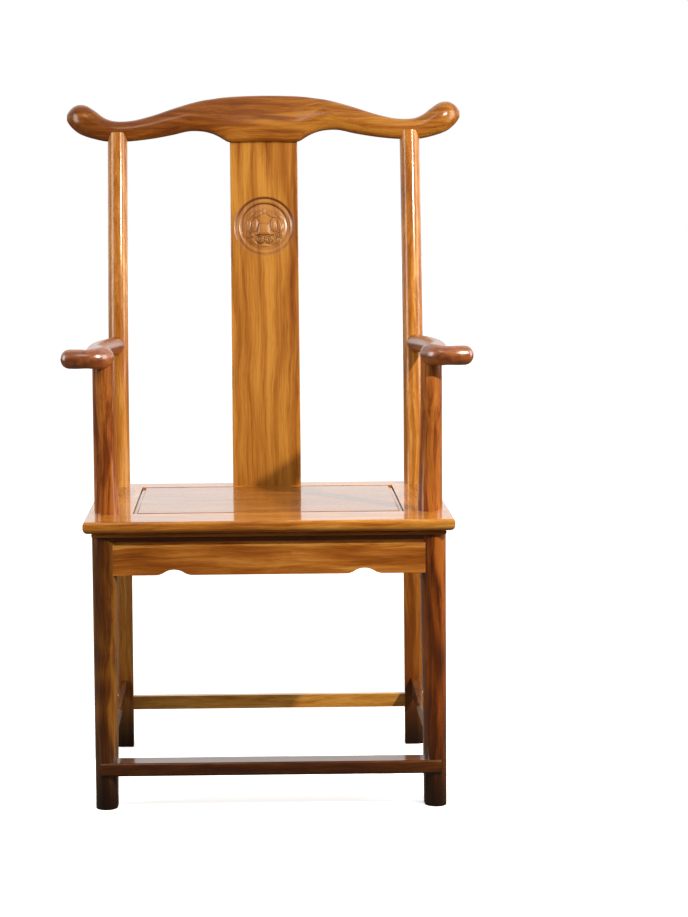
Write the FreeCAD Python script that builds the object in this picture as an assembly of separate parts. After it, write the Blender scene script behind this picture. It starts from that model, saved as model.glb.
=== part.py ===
import FreeCAD, Part
import math
import os

from FreeCAD import Vector

# An official's hat armchair in lacquered hardwood, standing on its four feet.
# Lengths are in millimetres. X runs across the chair, Y runs back and Z runs up, and the
# sitter faces towards -Y. Depths are measured back from the front edge of the seat.
# Left and right are as seen from the front. The right-hand piece is built and mirrored.

# Seat frame
seat_width = 600.0
seat_depth = 480.0
seat_height = 478.0
frame_thickness = 27.0
rail_width = 76.0
edge_straight = 5.0
edge_ovolo_height = 14.5
edge_ovolo_depth = 12.0
edge_bead_height = 5.5
edge_bead_bulge = 1.6
edge_inset = 14.5
arris_radius = 1.5
mitre_tenon_width = 13.0
mitre_tenon_thickness = 9.0
mitre_tenon_end = 12.0
mitre_tenon_root = 10.0

# Seat panel and the battens under it
panel_thickness = 12.0
tongue_thickness = 6.0
tongue_length = 8.0
tongue_room = 1.0
panel_seam = 1.3
batten_spacing = 220.0
batten_width = 32.0
batten_height = 12.0
batten_dovetail_height = 3.5
batten_dovetail_flare = 2.5
batten_tenon_length = 12.0
batten_tenon_thickness = 8.0
batten_tenon_width = 20.0

# Legs
leg_size = 39.0
leg_inset = 35.0
leg_splay_side = 2.5
leg_splay_depth = 4.0
leg_tenon_size = 15.0
leg_tenon_height = 19.0

# Back posts above the seat
back_post_diameter = 35.5
back_straight = 110.0
back_bend_radius = 1650.0
back_lean_angle = 10.6
post_ear_height = 13.0
post_tenon_size = 13.0
post_tenon_length = 24.0

# Gooseneck posts under the fronts of the arms
neck_diameter = 38.0
neck_setback = 70.0
neck_reach = 13.0
neck_shift = 3.0
neck_ear_height = 10.5
neck_tenon_size = 16.0
neck_tenon_length = 18.0

# Arms
arm_diameter = 33.0
arm_height = 735.0
arm_bow = 24.0
arm_curl_radius = 28.0
arm_hand_length = 28.0
# Rounding of the hand end: place along it and radius, both as shares of the arm's radius
arm_end_shares = ((0.0, 1.0), (0.55, 0.84), (1.0, 0.3))
arm_tenon_size = 12.0
arm_tenon_length = 13.0

# Crest rail: height and depth are those of the head rest at its middle
crest_top_height = 1176.0
crest_height = 82.0
crest_half_span = 356.0
crest_depth = 42.0
crest_bow = 16.0
# Each station: place along the half span, rise of the middle of the section, height,
# depth, setback, and how far the section is shaped as a head rest rather than round
crest_station_shares = (
    (0.0, 0.0, 1.0, 1.0, 1.0, 1.0),
    (0.084, -0.002, 0.994, 1.0, 0.98, 1.0),
    (0.163, -0.014, 0.99, 0.99, 0.93, 1.0),
    (0.188, -0.006, 0.958, 0.97, 0.9, 0.96),
    (0.219, 0.03, 0.866, 0.94, 0.86, 0.88),
    (0.258, 0.058, 0.762, 0.9, 0.8, 0.76),
    (0.309, 0.07, 0.677, 0.86, 0.72, 0.6),
    (0.379, 0.037, 0.598, 0.81, 0.57, 0.42),
    (0.463, -0.057, 0.567, 0.76, 0.38, 0.25),
    (0.562, -0.165, 0.5, 0.73, 0.18, 0.1),
    (0.66, -0.24, 0.445, 0.71, 0.04, 0.0),
    (0.744, -0.255, 0.445, 0.71, 0.0, 0.0),
    (0.801, -0.213, 0.5, 0.81, 0.04, 0.0),
    (0.848, -0.118, 0.604, 0.95, 0.12, 0.0),
    (0.893, -0.03, 0.671, 1.07, 0.24, 0.0),
    (0.933, 0.018, 0.622, 1.02, 0.36, 0.0),
    (0.963, 0.043, 0.476, 0.79, 0.46, 0.0),
    (0.984, 0.05, 0.29, 0.48, 0.52, 0.0),
    (0.997, 0.052, 0.11, 0.19, 0.55, 0.0),
)
# Unit section of the head rest, from the underside forwards: a lip low down on the front,
# a face that slopes back to the top, and a rounded back
head_rest_shares = (
    (0.05, -1.0), (-0.62, -0.96), (-0.9, -0.72), (-0.94, -0.38), (-0.86, -0.02),
    (-0.36, 0.6), (0.02, 0.94), (0.45, 1.0), (0.86, 0.8), (1.0, 0.2), (0.98, -0.45),
    (0.72, -0.9),
)

# Back splat and its carved roundel
splat_width = 122.0
splat_thickness = 11.0
splat_setback = 6.0
splat_foot_angle = -7.0
splat_waist_angle = 14.5
splat_head_angle = 7.0
splat_edge_bevel = 1.5
splat_tenon_length = 8.0
splat_tenon_inset = 6.0
splat_tenon_thickness = 7.0
roundel_height = 940.0
roundel_radius = 53.5
roundel_groove = 2.2
roundel_rim = 8.5
roundel_depth = 1.8
roundel_boss_size = 12.0
roundel_lobe_width = 7.5
roundel_lobe_height = 15.0
roundel_lobe_offset = 12.5

# Aprons under the seat
apron_height = 63.5
apron_thickness = 16.0
apron_inset = 5.0
apron_waist_height = 14.0
apron_waist_depth = 4.0
apron_tongue_height = 4.0
apron_tongue_thickness = 5.0
apron_tongue_stop = 6.0
apron_tenon_length = 9.0
apron_tenon_thickness = 7.0
apron_tenon_height = 34.0
scallop_from_leg = 91.0
scallop_width = 60.0
scallop_height = 9.0
scallop_shoulder_share = 0.56
scallop_shoulder_rise_share = 0.42

# Stretchers between the legs
stretcher_height = 24.5
stretcher_thickness = 17.0
stretcher_crown = 4.0
stretcher_tenon_length = 11.0
stretcher_tenon_thickness = 8.0
stretcher_tenon_height = 15.0
side_stretcher_top = 124.0
rear_stretcher_top = 92.0
footrest_top = 78.5
footrest_thickness = 22.0
footrest_depth = 42.0
footrest_lap = 4.0
footrest_end = 9.0
footrest_edge_radius = 4.0

# Fits and cuts
joint_slack = 0.15
overrun = 5.0
right_angle = 90.0

# How many straight lengths stand for each bend of a round piece
bend_count = 4
ogee_count = 2
bow_count = 3
curl_count = 5

# Places worked out from the sizes above
frame_underside = seat_height - frame_thickness
leg_x = seat_width / 2 - leg_inset
front_leg_y = leg_inset
rear_leg_y = seat_depth - leg_inset
neck_y = front_leg_y + neck_setback
crest_middle_z = crest_top_height - crest_height / 2
crest_under_z = crest_middle_z - crest_height / 2
apron_bottom = frame_underside - apron_height


def crest_station(share):
    """Rise, height and setback shares of the crest rail at a place along its half span."""
    stations = crest_station_shares
    for near, far in zip(stations, stations[1:]):
        if near[0] <= share <= far[0]:
            part = (share - near[0]) / (far[0] - near[0])
            return [a + part * (b - a) for a, b in zip(near, far)]
    return list(stations[-1])


def crest_underside(x):
    """Height of the crest rail's underside above the floor."""
    _, rise, height, _, _, _ = crest_station(x / crest_half_span)
    return crest_middle_z + rise * crest_height - height * crest_height / 2


def crest_axis_height(x):
    """Height of the middle of the crest rail's section above the floor."""
    return crest_middle_z + crest_station(x / crest_half_span)[1] * crest_height


def back_post_y(z):
    """Depth of the back post's axis at a height: upright, then bent, then leaning."""
    angle = math.radians(back_lean_angle)
    above = z - seat_height - back_straight
    bend_rise = back_bend_radius * math.sin(angle)
    if above <= 0:
        return rear_leg_y
    if above <= bend_rise:
        return rear_leg_y + back_bend_radius - math.sqrt(back_bend_radius ** 2 - above ** 2)
    bend_run = back_bend_radius * (1 - math.cos(angle))
    return rear_leg_y + bend_run + (above - bend_rise) * math.tan(angle)


# Places that follow from the curve of the back
crest_y = back_post_y(crest_axis_height(leg_x))
centre_y = (crest_y + crest_bow + crest_depth / 2) / 2


def box(low, high):
    """Solid box between two corners."""
    size = high - low
    return Part.makeBox(size.x, size.y, size.z, low)


def peg(x, y, size, low, high):
    """Upright square tenon about an axis."""
    return box(Vector(x - size / 2, y - size / 2, low), Vector(x + size / 2, y + size / 2, high))


def bend(start, heading, side, radius, angle):
    """Arc that leaves a point along a heading and turns towards a side; its end and heading."""
    middle = start + side * radius

    def at(turned_by):
        return middle + heading * (radius * math.sin(turned_by)) - side * (radius * math.cos(turned_by))

    end_heading = heading * math.cos(angle) + side * math.sin(angle)
    return Part.Arc(start, at(angle / 2), at(angle)).toShape(), at(angle), end_heading


def rod_along(edges, counts, radius):
    """Round rod along lines and arcs that run into each other, in mitred straight lengths."""
    points = []
    for edge, count in zip(edges, counts):
        span = edge.LastParameter - edge.FirstParameter
        points.extend(edge.valueAt(edge.FirstParameter + span * index / count)
                      for index in range(count))
    points.append(edges[-1].valueAt(edges[-1].LastParameter))
    ring = Part.Wire(Part.makeCircle(radius, points[0], points[1] - points[0]))
    mitred_corners = 1
    return Part.makePolygon(points).makePipeShell([ring], True, False, mitred_corners)


def largest(shape):
    """The biggest solid of a cut piece, without the slips that fall off it."""
    return max(shape.Solids, key=lambda solid: solid.Volume)


def mirrored(shape):
    """The same piece for the other side of the chair."""
    return shape.mirror(Vector(0, 0, 0), Vector(1, 0, 0))


def crest_section(side, station):
    """Closed outline of the crest rail at one station."""
    along, rise, height, depth, setback, rest = station
    middle = Vector(side * along * crest_half_span, crest_y + setback * crest_bow,
                    crest_middle_z + rise * crest_height)
    count = len(head_rest_shares)
    points = []
    for index, (rest_y, rest_z) in enumerate(head_rest_shares):
        angle = 2 * math.pi * index / count
        unit_y = rest * rest_y - (1 - rest) * math.sin(angle)
        unit_z = rest * rest_z - (1 - rest) * math.cos(angle)
        points.append(middle + Vector(0, unit_y * depth * crest_depth / 2,
                                      unit_z * height * crest_height / 2))
    points.append(points[0])
    return Part.makePolygon(points)


def crest_body():
    """Crest rail lofted from tip to tip through its stations."""
    left = [crest_section(-1, station) for station in reversed(crest_station_shares[1:])]
    right = [crest_section(1, station) for station in crest_station_shares]
    return Part.makeLoft(left + right, True, False)


def leg_section(facing):
    """Leg outline about its own middle: round outside, with a square corner inside."""
    half = leg_size / 2
    diagonal = half * math.sqrt(0.5)

    def at(across, back):
        return Vector(across, facing * back, 0)

    inside = [at(0, -half), at(-half, -half), at(-half, 0)]
    outside = Part.Arc(inside[2], at(-diagonal, diagonal), at(0, half))
    corner = Part.Arc(at(0, half), at(diagonal, diagonal), at(half, 0))
    front = Part.Arc(at(half, 0), at(diagonal, -diagonal), inside[0])
    edges = [Part.makeLine(inside[0], inside[1]), Part.makeLine(inside[1], inside[2]),
             outside.toShape(), corner.toShape(), front.toShape()]
    return Part.Face(Part.Wire(edges))


def leg_body(y, facing):
    """Leg tilted to its splay and cut level at the floor and under the seat frame."""
    foot = Vector(leg_x + leg_splay_side, y + facing * leg_splay_depth, 0)
    head = Vector(leg_x, y, frame_underside)
    slope = (head - foot).normalize()
    bar = leg_section(facing).extrude(Vector(0, 0, (head - foot).Length + 2 * overrun))
    bar.Placement = FreeCAD.Placement(foot - slope * overrun,
                                      FreeCAD.Rotation(Vector(0, 0, 1), slope))
    reach = leg_size + leg_splay_side + leg_splay_depth
    level = box(Vector(leg_x - reach, y - reach, 0), Vector(leg_x + reach, y + reach, head.z))
    return bar.common(level)


def leg_tenon(slack):
    """Square tenon that stands up into the corner of the seat frame."""
    top = frame_underside + leg_tenon_height + slack
    return peg(leg_x, front_leg_y, leg_tenon_size + 2 * slack, frame_underside, top)


def back_post_upper():
    """Back post from the underside of the seat frame to its ears on the crest rail."""
    up = Vector(0, 0, 1)
    back = Vector(0, 1, 0)
    foot = Vector(leg_x, rear_leg_y, frame_underside)
    knee = Vector(leg_x, rear_leg_y, seat_height + back_straight)
    curve, end, heading = bend(knee, up, back, back_bend_radius, math.radians(back_lean_angle))
    top_z = crest_underside(leg_x) + post_ear_height
    top = end + heading * ((top_z - end.z) / heading.z)
    edges = [Part.makeLine(foot, knee), curve, Part.makeLine(end, top)]
    return rod_along(edges, (1, bend_count, 1), back_post_diameter / 2)


def crest_tenon(slack):
    """Tenon of the back post in the crest rail."""
    low = crest_underside(leg_x) - slack
    return peg(leg_x, crest_y, post_tenon_size + 2 * slack, low, low + post_tenon_length + 2 * slack)


def neck_body():
    """Gooseneck post: an ogee of two arcs, upright at the seat and under the arm."""
    rise = arm_height - arm_diameter / 2 + neck_ear_height - seat_height
    reach = Vector(neck_shift, -neck_reach, 0)
    side = Vector(reach).normalize()
    angle = 2 * math.atan(reach.Length / rise)
    radius = rise / 2 / math.sin(angle)
    foot = Vector(leg_x, neck_y, seat_height)
    lower, waist, heading = bend(foot, Vector(0, 0, 1), side, radius, angle)
    away = Vector(0, 0, math.sin(angle)) - side * math.cos(angle)
    upper, _, _ = bend(waist, heading, away, radius, angle)
    return rod_along([lower, upper], (ogee_count, ogee_count), neck_diameter / 2)


def neck_foot_tenon(slack):
    """Tenon of the gooseneck post in the side rail of the seat."""
    low = seat_height - neck_tenon_length - slack
    return peg(leg_x, neck_y, neck_tenon_size + 2 * slack, low, seat_height)


def neck_top_tenon(slack):
    """Tenon of the gooseneck post in the arm."""
    low = arm_height - arm_diameter / 2 - slack
    return peg(leg_x + neck_shift, neck_y - neck_reach, neck_tenon_size + 2 * slack,
               low, low + neck_tenon_length + 2 * slack)


def arm_edges():
    """Axis of the arm: bowed out from the back post, then curled outwards at the hand."""
    start = Vector(leg_x, back_post_y(arm_height), arm_height)
    hand = Vector(leg_x + neck_shift, neck_y - neck_reach, arm_height)
    run = hand - start
    along = Vector(run).normalize()
    outwards = Vector(-along.y, along.x, 0)
    half_turn = 2 * math.atan(2 * arm_bow / run.Length)
    radius = run.Length / 2 / math.sin(half_turn)
    heading = along * math.cos(half_turn) + outwards * math.sin(half_turn)
    inwards = along * math.sin(half_turn) - outwards * math.cos(half_turn)
    bowed, _, heading = bend(start, heading, inwards, radius, 2 * half_turn)
    side = Vector(-heading.y, heading.x, 0)
    turn = math.acos(heading.x)
    curl, corner, _ = bend(hand, heading, side, arm_curl_radius, turn)
    tip = corner + Vector(arm_hand_length, 0, 0)
    return [bowed, curl, Part.makeLine(corner, tip)], tip


def arm_body():
    """Round arm with a rounded hand end."""
    edges, tip = arm_edges()
    radius = arm_diameter / 2
    rod = rod_along(edges, (bow_count, curl_count, 1), radius)
    across = Vector(1, 0, 0)
    ends = []
    for near, far in zip(arm_end_shares, arm_end_shares[1:]):
        ends.append(Part.makeCone(near[1] * radius, far[1] * radius, (far[0] - near[0]) * radius,
                                  tip + across * near[0] * radius, across))
    return rod.fuse(ends)


def arm_tenon(slack):
    """Tenon of the arm in the back post."""
    half = arm_tenon_size / 2 + slack
    face = back_post_y(arm_height) - back_post_diameter / 2
    return box(Vector(leg_x - half, face - arm_diameter / 2, arm_height - half),
               Vector(leg_x + half, face + arm_tenon_length + slack, arm_height + half))


def splat_foot_y():
    """Depth of the middle of the splat where it stands on the rear rail."""
    return rear_leg_y - splat_setback


def splat_radii():
    """Radii of the splat's two bends that carry it from the seat to the crest rail."""
    foot = math.radians(splat_foot_angle)
    waist = math.radians(splat_waist_angle)
    head = math.radians(splat_head_angle)
    low_rise = math.sin(waist) - math.sin(foot)
    high_rise = math.sin(waist) - math.sin(head)
    low_run = math.cos(foot) - math.cos(waist)
    high_run = math.cos(head) - math.cos(waist)
    rise = crest_under_z - seat_height
    run = crest_y + crest_bow - splat_foot_y()
    scale = low_rise * high_run - high_rise * low_run
    return (rise * high_run - high_rise * run) / scale, (low_rise * run - rise * low_run) / scale


def splat_face(offset):
    """Edges up one face of the splat, set off from its middle."""
    low_radius, high_radius = splat_radii()
    foot_angle = math.radians(splat_foot_angle)
    turn = math.radians(splat_waist_angle - splat_foot_angle)
    unturn = math.radians(splat_waist_angle - splat_head_angle)
    up = Vector(0, math.sin(foot_angle), math.cos(foot_angle))
    back = Vector(0, math.cos(foot_angle), -math.sin(foot_angle))
    foot = Vector(-splat_width / 2, splat_foot_y(), seat_height) + back * offset
    low, waist, heading = bend(foot, up, back, low_radius - offset, turn)
    front = Vector(0, -heading.z, heading.y)
    high, head, heading = bend(waist, heading, front, high_radius + offset, unturn)
    below = foot - up * overrun
    above = head + heading * overrun
    return [Part.makeLine(below, foot), low, high, Part.makeLine(head, above)], below, above


def splat_band():
    """Splat board: an S in side view, pulled across the chair and cut level at the seat."""
    front, front_low, front_high = splat_face(-splat_thickness / 2)
    back, back_low, back_high = splat_face(splat_thickness / 2)
    edges = front + [Part.makeLine(front_high, back_high)] + back[::-1]
    edges.append(Part.makeLine(back_low, front_low))
    board = Part.Face(Part.Wire(edges)).extrude(Vector(splat_width, 0, 0))
    long_edges = [edge for edge in board.Edges
                  if edge.BoundBox.XLength < splat_edge_bevel and edge.Length > splat_thickness]
    board = board.makeChamfer(splat_edge_bevel, long_edges)
    above_seat = box(Vector(-splat_width, 0, seat_height),
                     Vector(splat_width, 2 * seat_depth, crest_top_height))
    return board.common(above_seat)


def splat_tenons(slack):
    """Tenons along the foot and the head of the splat."""
    half_width = splat_width / 2 - splat_tenon_inset + slack
    half_thickness = splat_tenon_thickness / 2 + slack
    length = splat_tenon_length + slack
    foot_y = splat_foot_y()
    head_y = crest_y + crest_bow
    foot = box(Vector(-half_width, foot_y - half_thickness, seat_height - length),
               Vector(half_width, foot_y + half_thickness, seat_height))
    head = box(Vector(-half_width, head_y - half_thickness, crest_under_z - length),
               Vector(half_width, head_y + half_thickness, crest_under_z + length))
    return foot, head


def disc(radius):
    """Round prism through the splat, for setting out the roundel."""
    start = Vector(0, 0, roundel_height)
    return Part.makeCylinder(radius, 2 * seat_depth, start, Vector(0, 1, 0))


def lobe(side):
    """Prism through the splat with the outline of one leaf beside the boss, from two arcs."""
    inner = roundel_lobe_offset - roundel_lobe_width / 2
    outer = roundel_lobe_offset + roundel_lobe_width / 2
    top = Vector(side * roundel_lobe_offset, 0, roundel_height + roundel_lobe_height / 2)
    foot = Vector(side * roundel_lobe_offset, 0, roundel_height - roundel_lobe_height / 2)
    near = Part.Arc(top, Vector(side * inner, 0, roundel_height), foot)
    far = Part.Arc(foot, Vector(side * outer, 0, roundel_height), top)
    outline = Part.Face(Part.Wire([near.toShape(), far.toShape()]))
    return outline.extrude(Vector(0, 2 * seat_depth, 0))


def roundel_cut(splat):
    """What is carved out of the face: a groove round the rim and the ground round the motif."""
    half = roundel_boss_size / 2
    boss = box(Vector(-half, 0, roundel_height - half),
               Vector(half, 2 * seat_depth, roundel_height + half))
    rim_radius = roundel_radius - roundel_groove
    field_radius = rim_radius - roundel_rim
    rim_groove = disc(roundel_radius).cut(disc(rim_radius))
    ground = disc(field_radius).cut([boss, lobe(-1), lobe(1)])
    behind = splat.copy()
    behind.translate(Vector(0, roundel_depth, 0))
    skin = splat.cut(behind)
    return [skin.common(rim_groove), skin.common(ground)]


def splat_piece():
    """Back splat with the roundel carved in its face."""
    body = splat_band()
    for carved in roundel_cut(body):
        body = body.cut(carved)
    return body


def frame_profile(width):
    """Moulded outline of a seat rail across its length, outer edge at y = 0."""
    top = seat_height
    ovolo_top = top - edge_straight
    ovolo_low = ovolo_top - edge_ovolo_height
    bead_low = frame_underside
    slope = math.sqrt(0.5)
    arris = Part.Arc(Vector(0, arris_radius, top),
                     Vector(0, arris_radius * (1 - slope), top - arris_radius * (1 - slope)),
                     Vector(0, 0, top - arris_radius))
    ovolo = Part.Arc(Vector(0, 0, ovolo_top),
                     Vector(0, edge_ovolo_depth * (1 - slope) * slope,
                            ovolo_top - edge_ovolo_height * slope),
                     Vector(0, edge_ovolo_depth, ovolo_low))
    bead = Part.Arc(Vector(0, edge_inset, ovolo_low),
                    Vector(0, edge_inset - edge_bead_bulge, (ovolo_low + bead_low) / 2),
                    Vector(0, edge_inset, bead_low))
    corners = [Vector(0, width, top), Vector(0, arris_radius, top),
               Vector(0, 0, top - arris_radius), Vector(0, 0, ovolo_top),
               Vector(0, edge_ovolo_depth, ovolo_low), Vector(0, edge_inset, ovolo_low),
               Vector(0, edge_inset, bead_low), Vector(0, width, bead_low)]
    edges = [Part.makeLine(corners[0], corners[1]), arris.toShape(),
             Part.makeLine(corners[2], corners[3]), ovolo.toShape(),
             Part.makeLine(corners[4], corners[5]), bead.toShape(),
             Part.makeLine(corners[6], corners[7]), Part.makeLine(corners[7], corners[0])]
    return Part.Face(Part.Wire(edges))


def tongue_low():
    """Underside of the panel and of its tongue."""
    return seat_height - panel_thickness


def frame_rail(length):
    """Seat rail along X, outer edge at y = 0, mitred at both ends and grooved for the panel."""
    face = frame_profile(rail_width)
    face.translate(Vector(-length / 2, 0, 0))
    bar = face.extrude(Vector(length, 0, 0))
    low = frame_underside - overrun
    corners = [Vector(-length / 2, 0, low), Vector(length / 2, 0, low),
               Vector(length / 2 - rail_width, rail_width, low),
               Vector(rail_width - length / 2, rail_width, low)]
    corners.append(corners[0])
    footprint = Part.Face(Part.makePolygon(corners))
    bar = bar.common(footprint.extrude(Vector(0, 0, frame_thickness + 2 * overrun)))
    reach = tongue_length + tongue_room
    groove = box(Vector(-length / 2, rail_width - reach, tongue_low()),
                 Vector(length / 2, rail_width + overrun, tongue_low() + tongue_thickness))
    return bar.cut(groove)


def turned(shape, degrees, x, y):
    """Rail swung about the vertical and set with its outer edge on a side of the seat."""
    moved = shape.copy()
    moved.rotate(Vector(0, 0, 0), Vector(0, 0, 1), degrees)
    moved.translate(Vector(x, y, 0))
    return moved


def mitre_tenons(slack):
    """Tenons of the right-hand rail that run into the front and rear rails."""
    outer_x = seat_width / 2 - rail_width + mitre_tenon_root - slack
    inner_x = outer_x + mitre_tenon_width + 2 * slack
    middle_z = (frame_underside + tongue_low()) / 2
    low = middle_z - mitre_tenon_thickness / 2 - slack
    high = middle_z + mitre_tenon_thickness / 2 + slack
    front = box(Vector(outer_x, mitre_tenon_end - slack, low), Vector(inner_x, rail_width, high))
    rear = box(Vector(outer_x, seat_depth - rail_width, low),
               Vector(inner_x, seat_depth - mitre_tenon_end + slack, high))
    return front, rear


def panel_piece():
    """Floating seat panel, tongued into the frame all round."""
    half_opening = seat_width / 2 - rail_width
    front = rail_width
    back = seat_depth - rail_width
    low = tongue_low()
    board = box(Vector(-half_opening + panel_seam, front + panel_seam, low),
                Vector(half_opening - panel_seam, back - panel_seam, seat_height))
    tongue = box(Vector(-half_opening - tongue_length, front - tongue_length, low),
                 Vector(half_opening + tongue_length, back + tongue_length,
                        low + tongue_thickness - joint_slack))
    return board.fuse(tongue).removeSplitter()


def batten_dovetail(slack):
    """Dovetailed ridge along the top of a batten, housed in the panel."""
    low = tongue_low()
    half = batten_width / 2 - batten_dovetail_flare + slack
    flared = batten_width / 2 + slack
    top = low + batten_dovetail_height + slack
    start = rail_width
    corners = [Vector(-half, start, low), Vector(half, start, low), Vector(flared, start, top),
               Vector(-flared, start, top)]
    corners.append(corners[0])
    face = Part.Face(Part.makePolygon(corners))
    return face.extrude(Vector(0, seat_depth - 2 * rail_width, 0))


def batten_tenons(slack):
    """Tenons of a batten in the front and rear rails."""
    half = batten_tenon_width / 2 + slack
    middle_z = tongue_low() - batten_height / 2
    half_z = batten_tenon_thickness / 2 + slack
    reach = batten_tenon_length + slack
    return box(Vector(-half, rail_width - reach, middle_z - half_z),
               Vector(half, seat_depth - rail_width + reach, middle_z + half_z))


def batten_piece():
    """Batten from the front rail to the rear rail, under the seat panel."""
    half = batten_width / 2 - batten_dovetail_flare
    low = tongue_low()
    bar = box(Vector(-half, rail_width, low - batten_height),
              Vector(half, seat_depth - rail_width, low))
    return bar.fuse([batten_dovetail(0), batten_tenons(0)]).removeSplitter()


def scallop_edges(centre, low):
    """Shallow bracket arch cut up into the apron's lower edge, from right to left."""
    half = scallop_width / 2
    shoulder = half * scallop_shoulder_share
    rise = scallop_height * scallop_shoulder_rise_share
    out = (half + shoulder) / 2
    sag = rise / 4
    points = [Vector(centre + half, 0, low), Vector(centre + out, 0, low + sag),
              Vector(centre + shoulder, 0, low + rise), Vector(centre, 0, low + scallop_height),
              Vector(centre - shoulder, 0, low + rise), Vector(centre - out, 0, low + sag),
              Vector(centre - half, 0, low)]
    return [Part.Arc(*points[index:index + 3]).toShape() for index in (0, 2, 4)], points


def apron_body(half_length, scalloped):
    """Apron along X with its face at y = 0, waisted at the top, up to the legs' middles."""
    leg_face = half_length - leg_size / 2
    low = apron_bottom
    top = frame_underside
    edges = []
    last = Vector(half_length, 0, low)
    centres = [leg_face - scallop_from_leg, scallop_from_leg - leg_face] if scalloped else []
    for centre in centres:
        arcs, points = scallop_edges(centre, low)
        edges.append(Part.makeLine(last, points[0]))
        edges.extend(arcs)
        last = points[-1]
    corners = [last, Vector(-half_length, 0, low), Vector(-half_length, 0, top),
               Vector(half_length, 0, top), Vector(half_length, 0, low)]
    for start, end in zip(corners, corners[1:]):
        edges.append(Part.makeLine(start, end))
    board = Part.Face(Part.Wire(edges)).extrude(Vector(0, apron_thickness, 0))
    waist = box(Vector(-half_length - overrun, -overrun, top - apron_waist_height),
                Vector(half_length + overrun, apron_waist_depth, top + overrun))
    return board.cut(waist)


def apron_tongue(half_length, slack):
    """Tongue along the top of the apron, in the underside of the seat frame."""
    reach = half_length - leg_size / 2 - apron_tongue_stop + slack
    middle = (apron_thickness + apron_waist_depth) / 2
    half = apron_tongue_thickness / 2 + slack
    return box(Vector(-reach, middle - half, frame_underside),
               Vector(reach, middle + half, frame_underside + apron_tongue_height + slack))


def apron_tenons(half_length, slack):
    """Tenon at each end of the apron, in the legs."""
    reach = half_length - leg_size / 2 + apron_tenon_length + slack
    middle_y = (apron_thickness + apron_waist_depth) / 2
    half_y = apron_tenon_thickness / 2 + slack
    middle_z = apron_bottom + (apron_height - apron_waist_height) / 2
    half_z = apron_tenon_height / 2 + slack
    return box(Vector(-reach, middle_y - half_y, middle_z - half_z),
               Vector(reach, middle_y + half_y, middle_z + half_z))


def stretcher_body(half_length, top):
    """Stretcher along X: flat inside and gently crowned outside, outer face at y = 0."""
    low = top - stretcher_height
    crown = Part.Arc(Vector(-half_length, stretcher_crown, low),
                     Vector(-half_length, 0, (low + top) / 2),
                     Vector(-half_length, stretcher_crown, top))
    corners = [Vector(-half_length, stretcher_crown, top),
               Vector(-half_length, stretcher_thickness, top),
               Vector(-half_length, stretcher_thickness, low),
               Vector(-half_length, stretcher_crown, low)]
    edges = [crown.toShape()]
    for start, end in zip(corners, corners[1:]):
        edges.append(Part.makeLine(start, end))
    return Part.Face(Part.Wire(edges)).extrude(Vector(2 * half_length, 0, 0))


def stretcher_tenons(half_length, thickness, top, height, slack):
    """Tenon at each end of a stretcher, in the legs."""
    reach = half_length - leg_size / 2 + stretcher_tenon_length + slack
    half_y = stretcher_tenon_thickness / 2 + slack
    half_z = stretcher_tenon_height / 2 + slack
    middle_z = top - height / 2
    return box(Vector(-reach, thickness / 2 - half_y, middle_z - half_z),
               Vector(reach, thickness / 2 + half_y, middle_z + half_z))


def splay_at(z):
    """Share of the legs' splay left at a height."""
    return 1 - z / frame_underside


def set_on(side, shape, inset):
    """Piece built along X with its face at y = 0, set on the front, rear or right side."""
    if side == "front":
        return turned(shape, 0, 0, inset)
    if side == "rear":
        return turned(shape, 2 * right_angle, 0, seat_depth - inset)
    return turned(shape, right_angle, seat_width / 2 - inset, seat_depth / 2)


def footrest_body():
    """Front stretcher: a flat footrest whose ends lap over the fronts of the legs."""
    splay = splay_at(footrest_top)
    front = front_leg_y - leg_size / 2 - splay * leg_splay_depth - footrest_lap
    end = leg_x + footrest_end
    bar = box(Vector(-end, front, footrest_top - footrest_thickness),
              Vector(end, front + footrest_depth, footrest_top))
    edges = [edge for edge in bar.Edges if edge.BoundBox.XLength > leg_x]
    return bar.makeFillet(footrest_edge_radius, edges), front


def scribed(shape, neighbours):
    """Piece trimmed to the faces of its neighbours."""
    return largest(shape.cut(neighbours))


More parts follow.
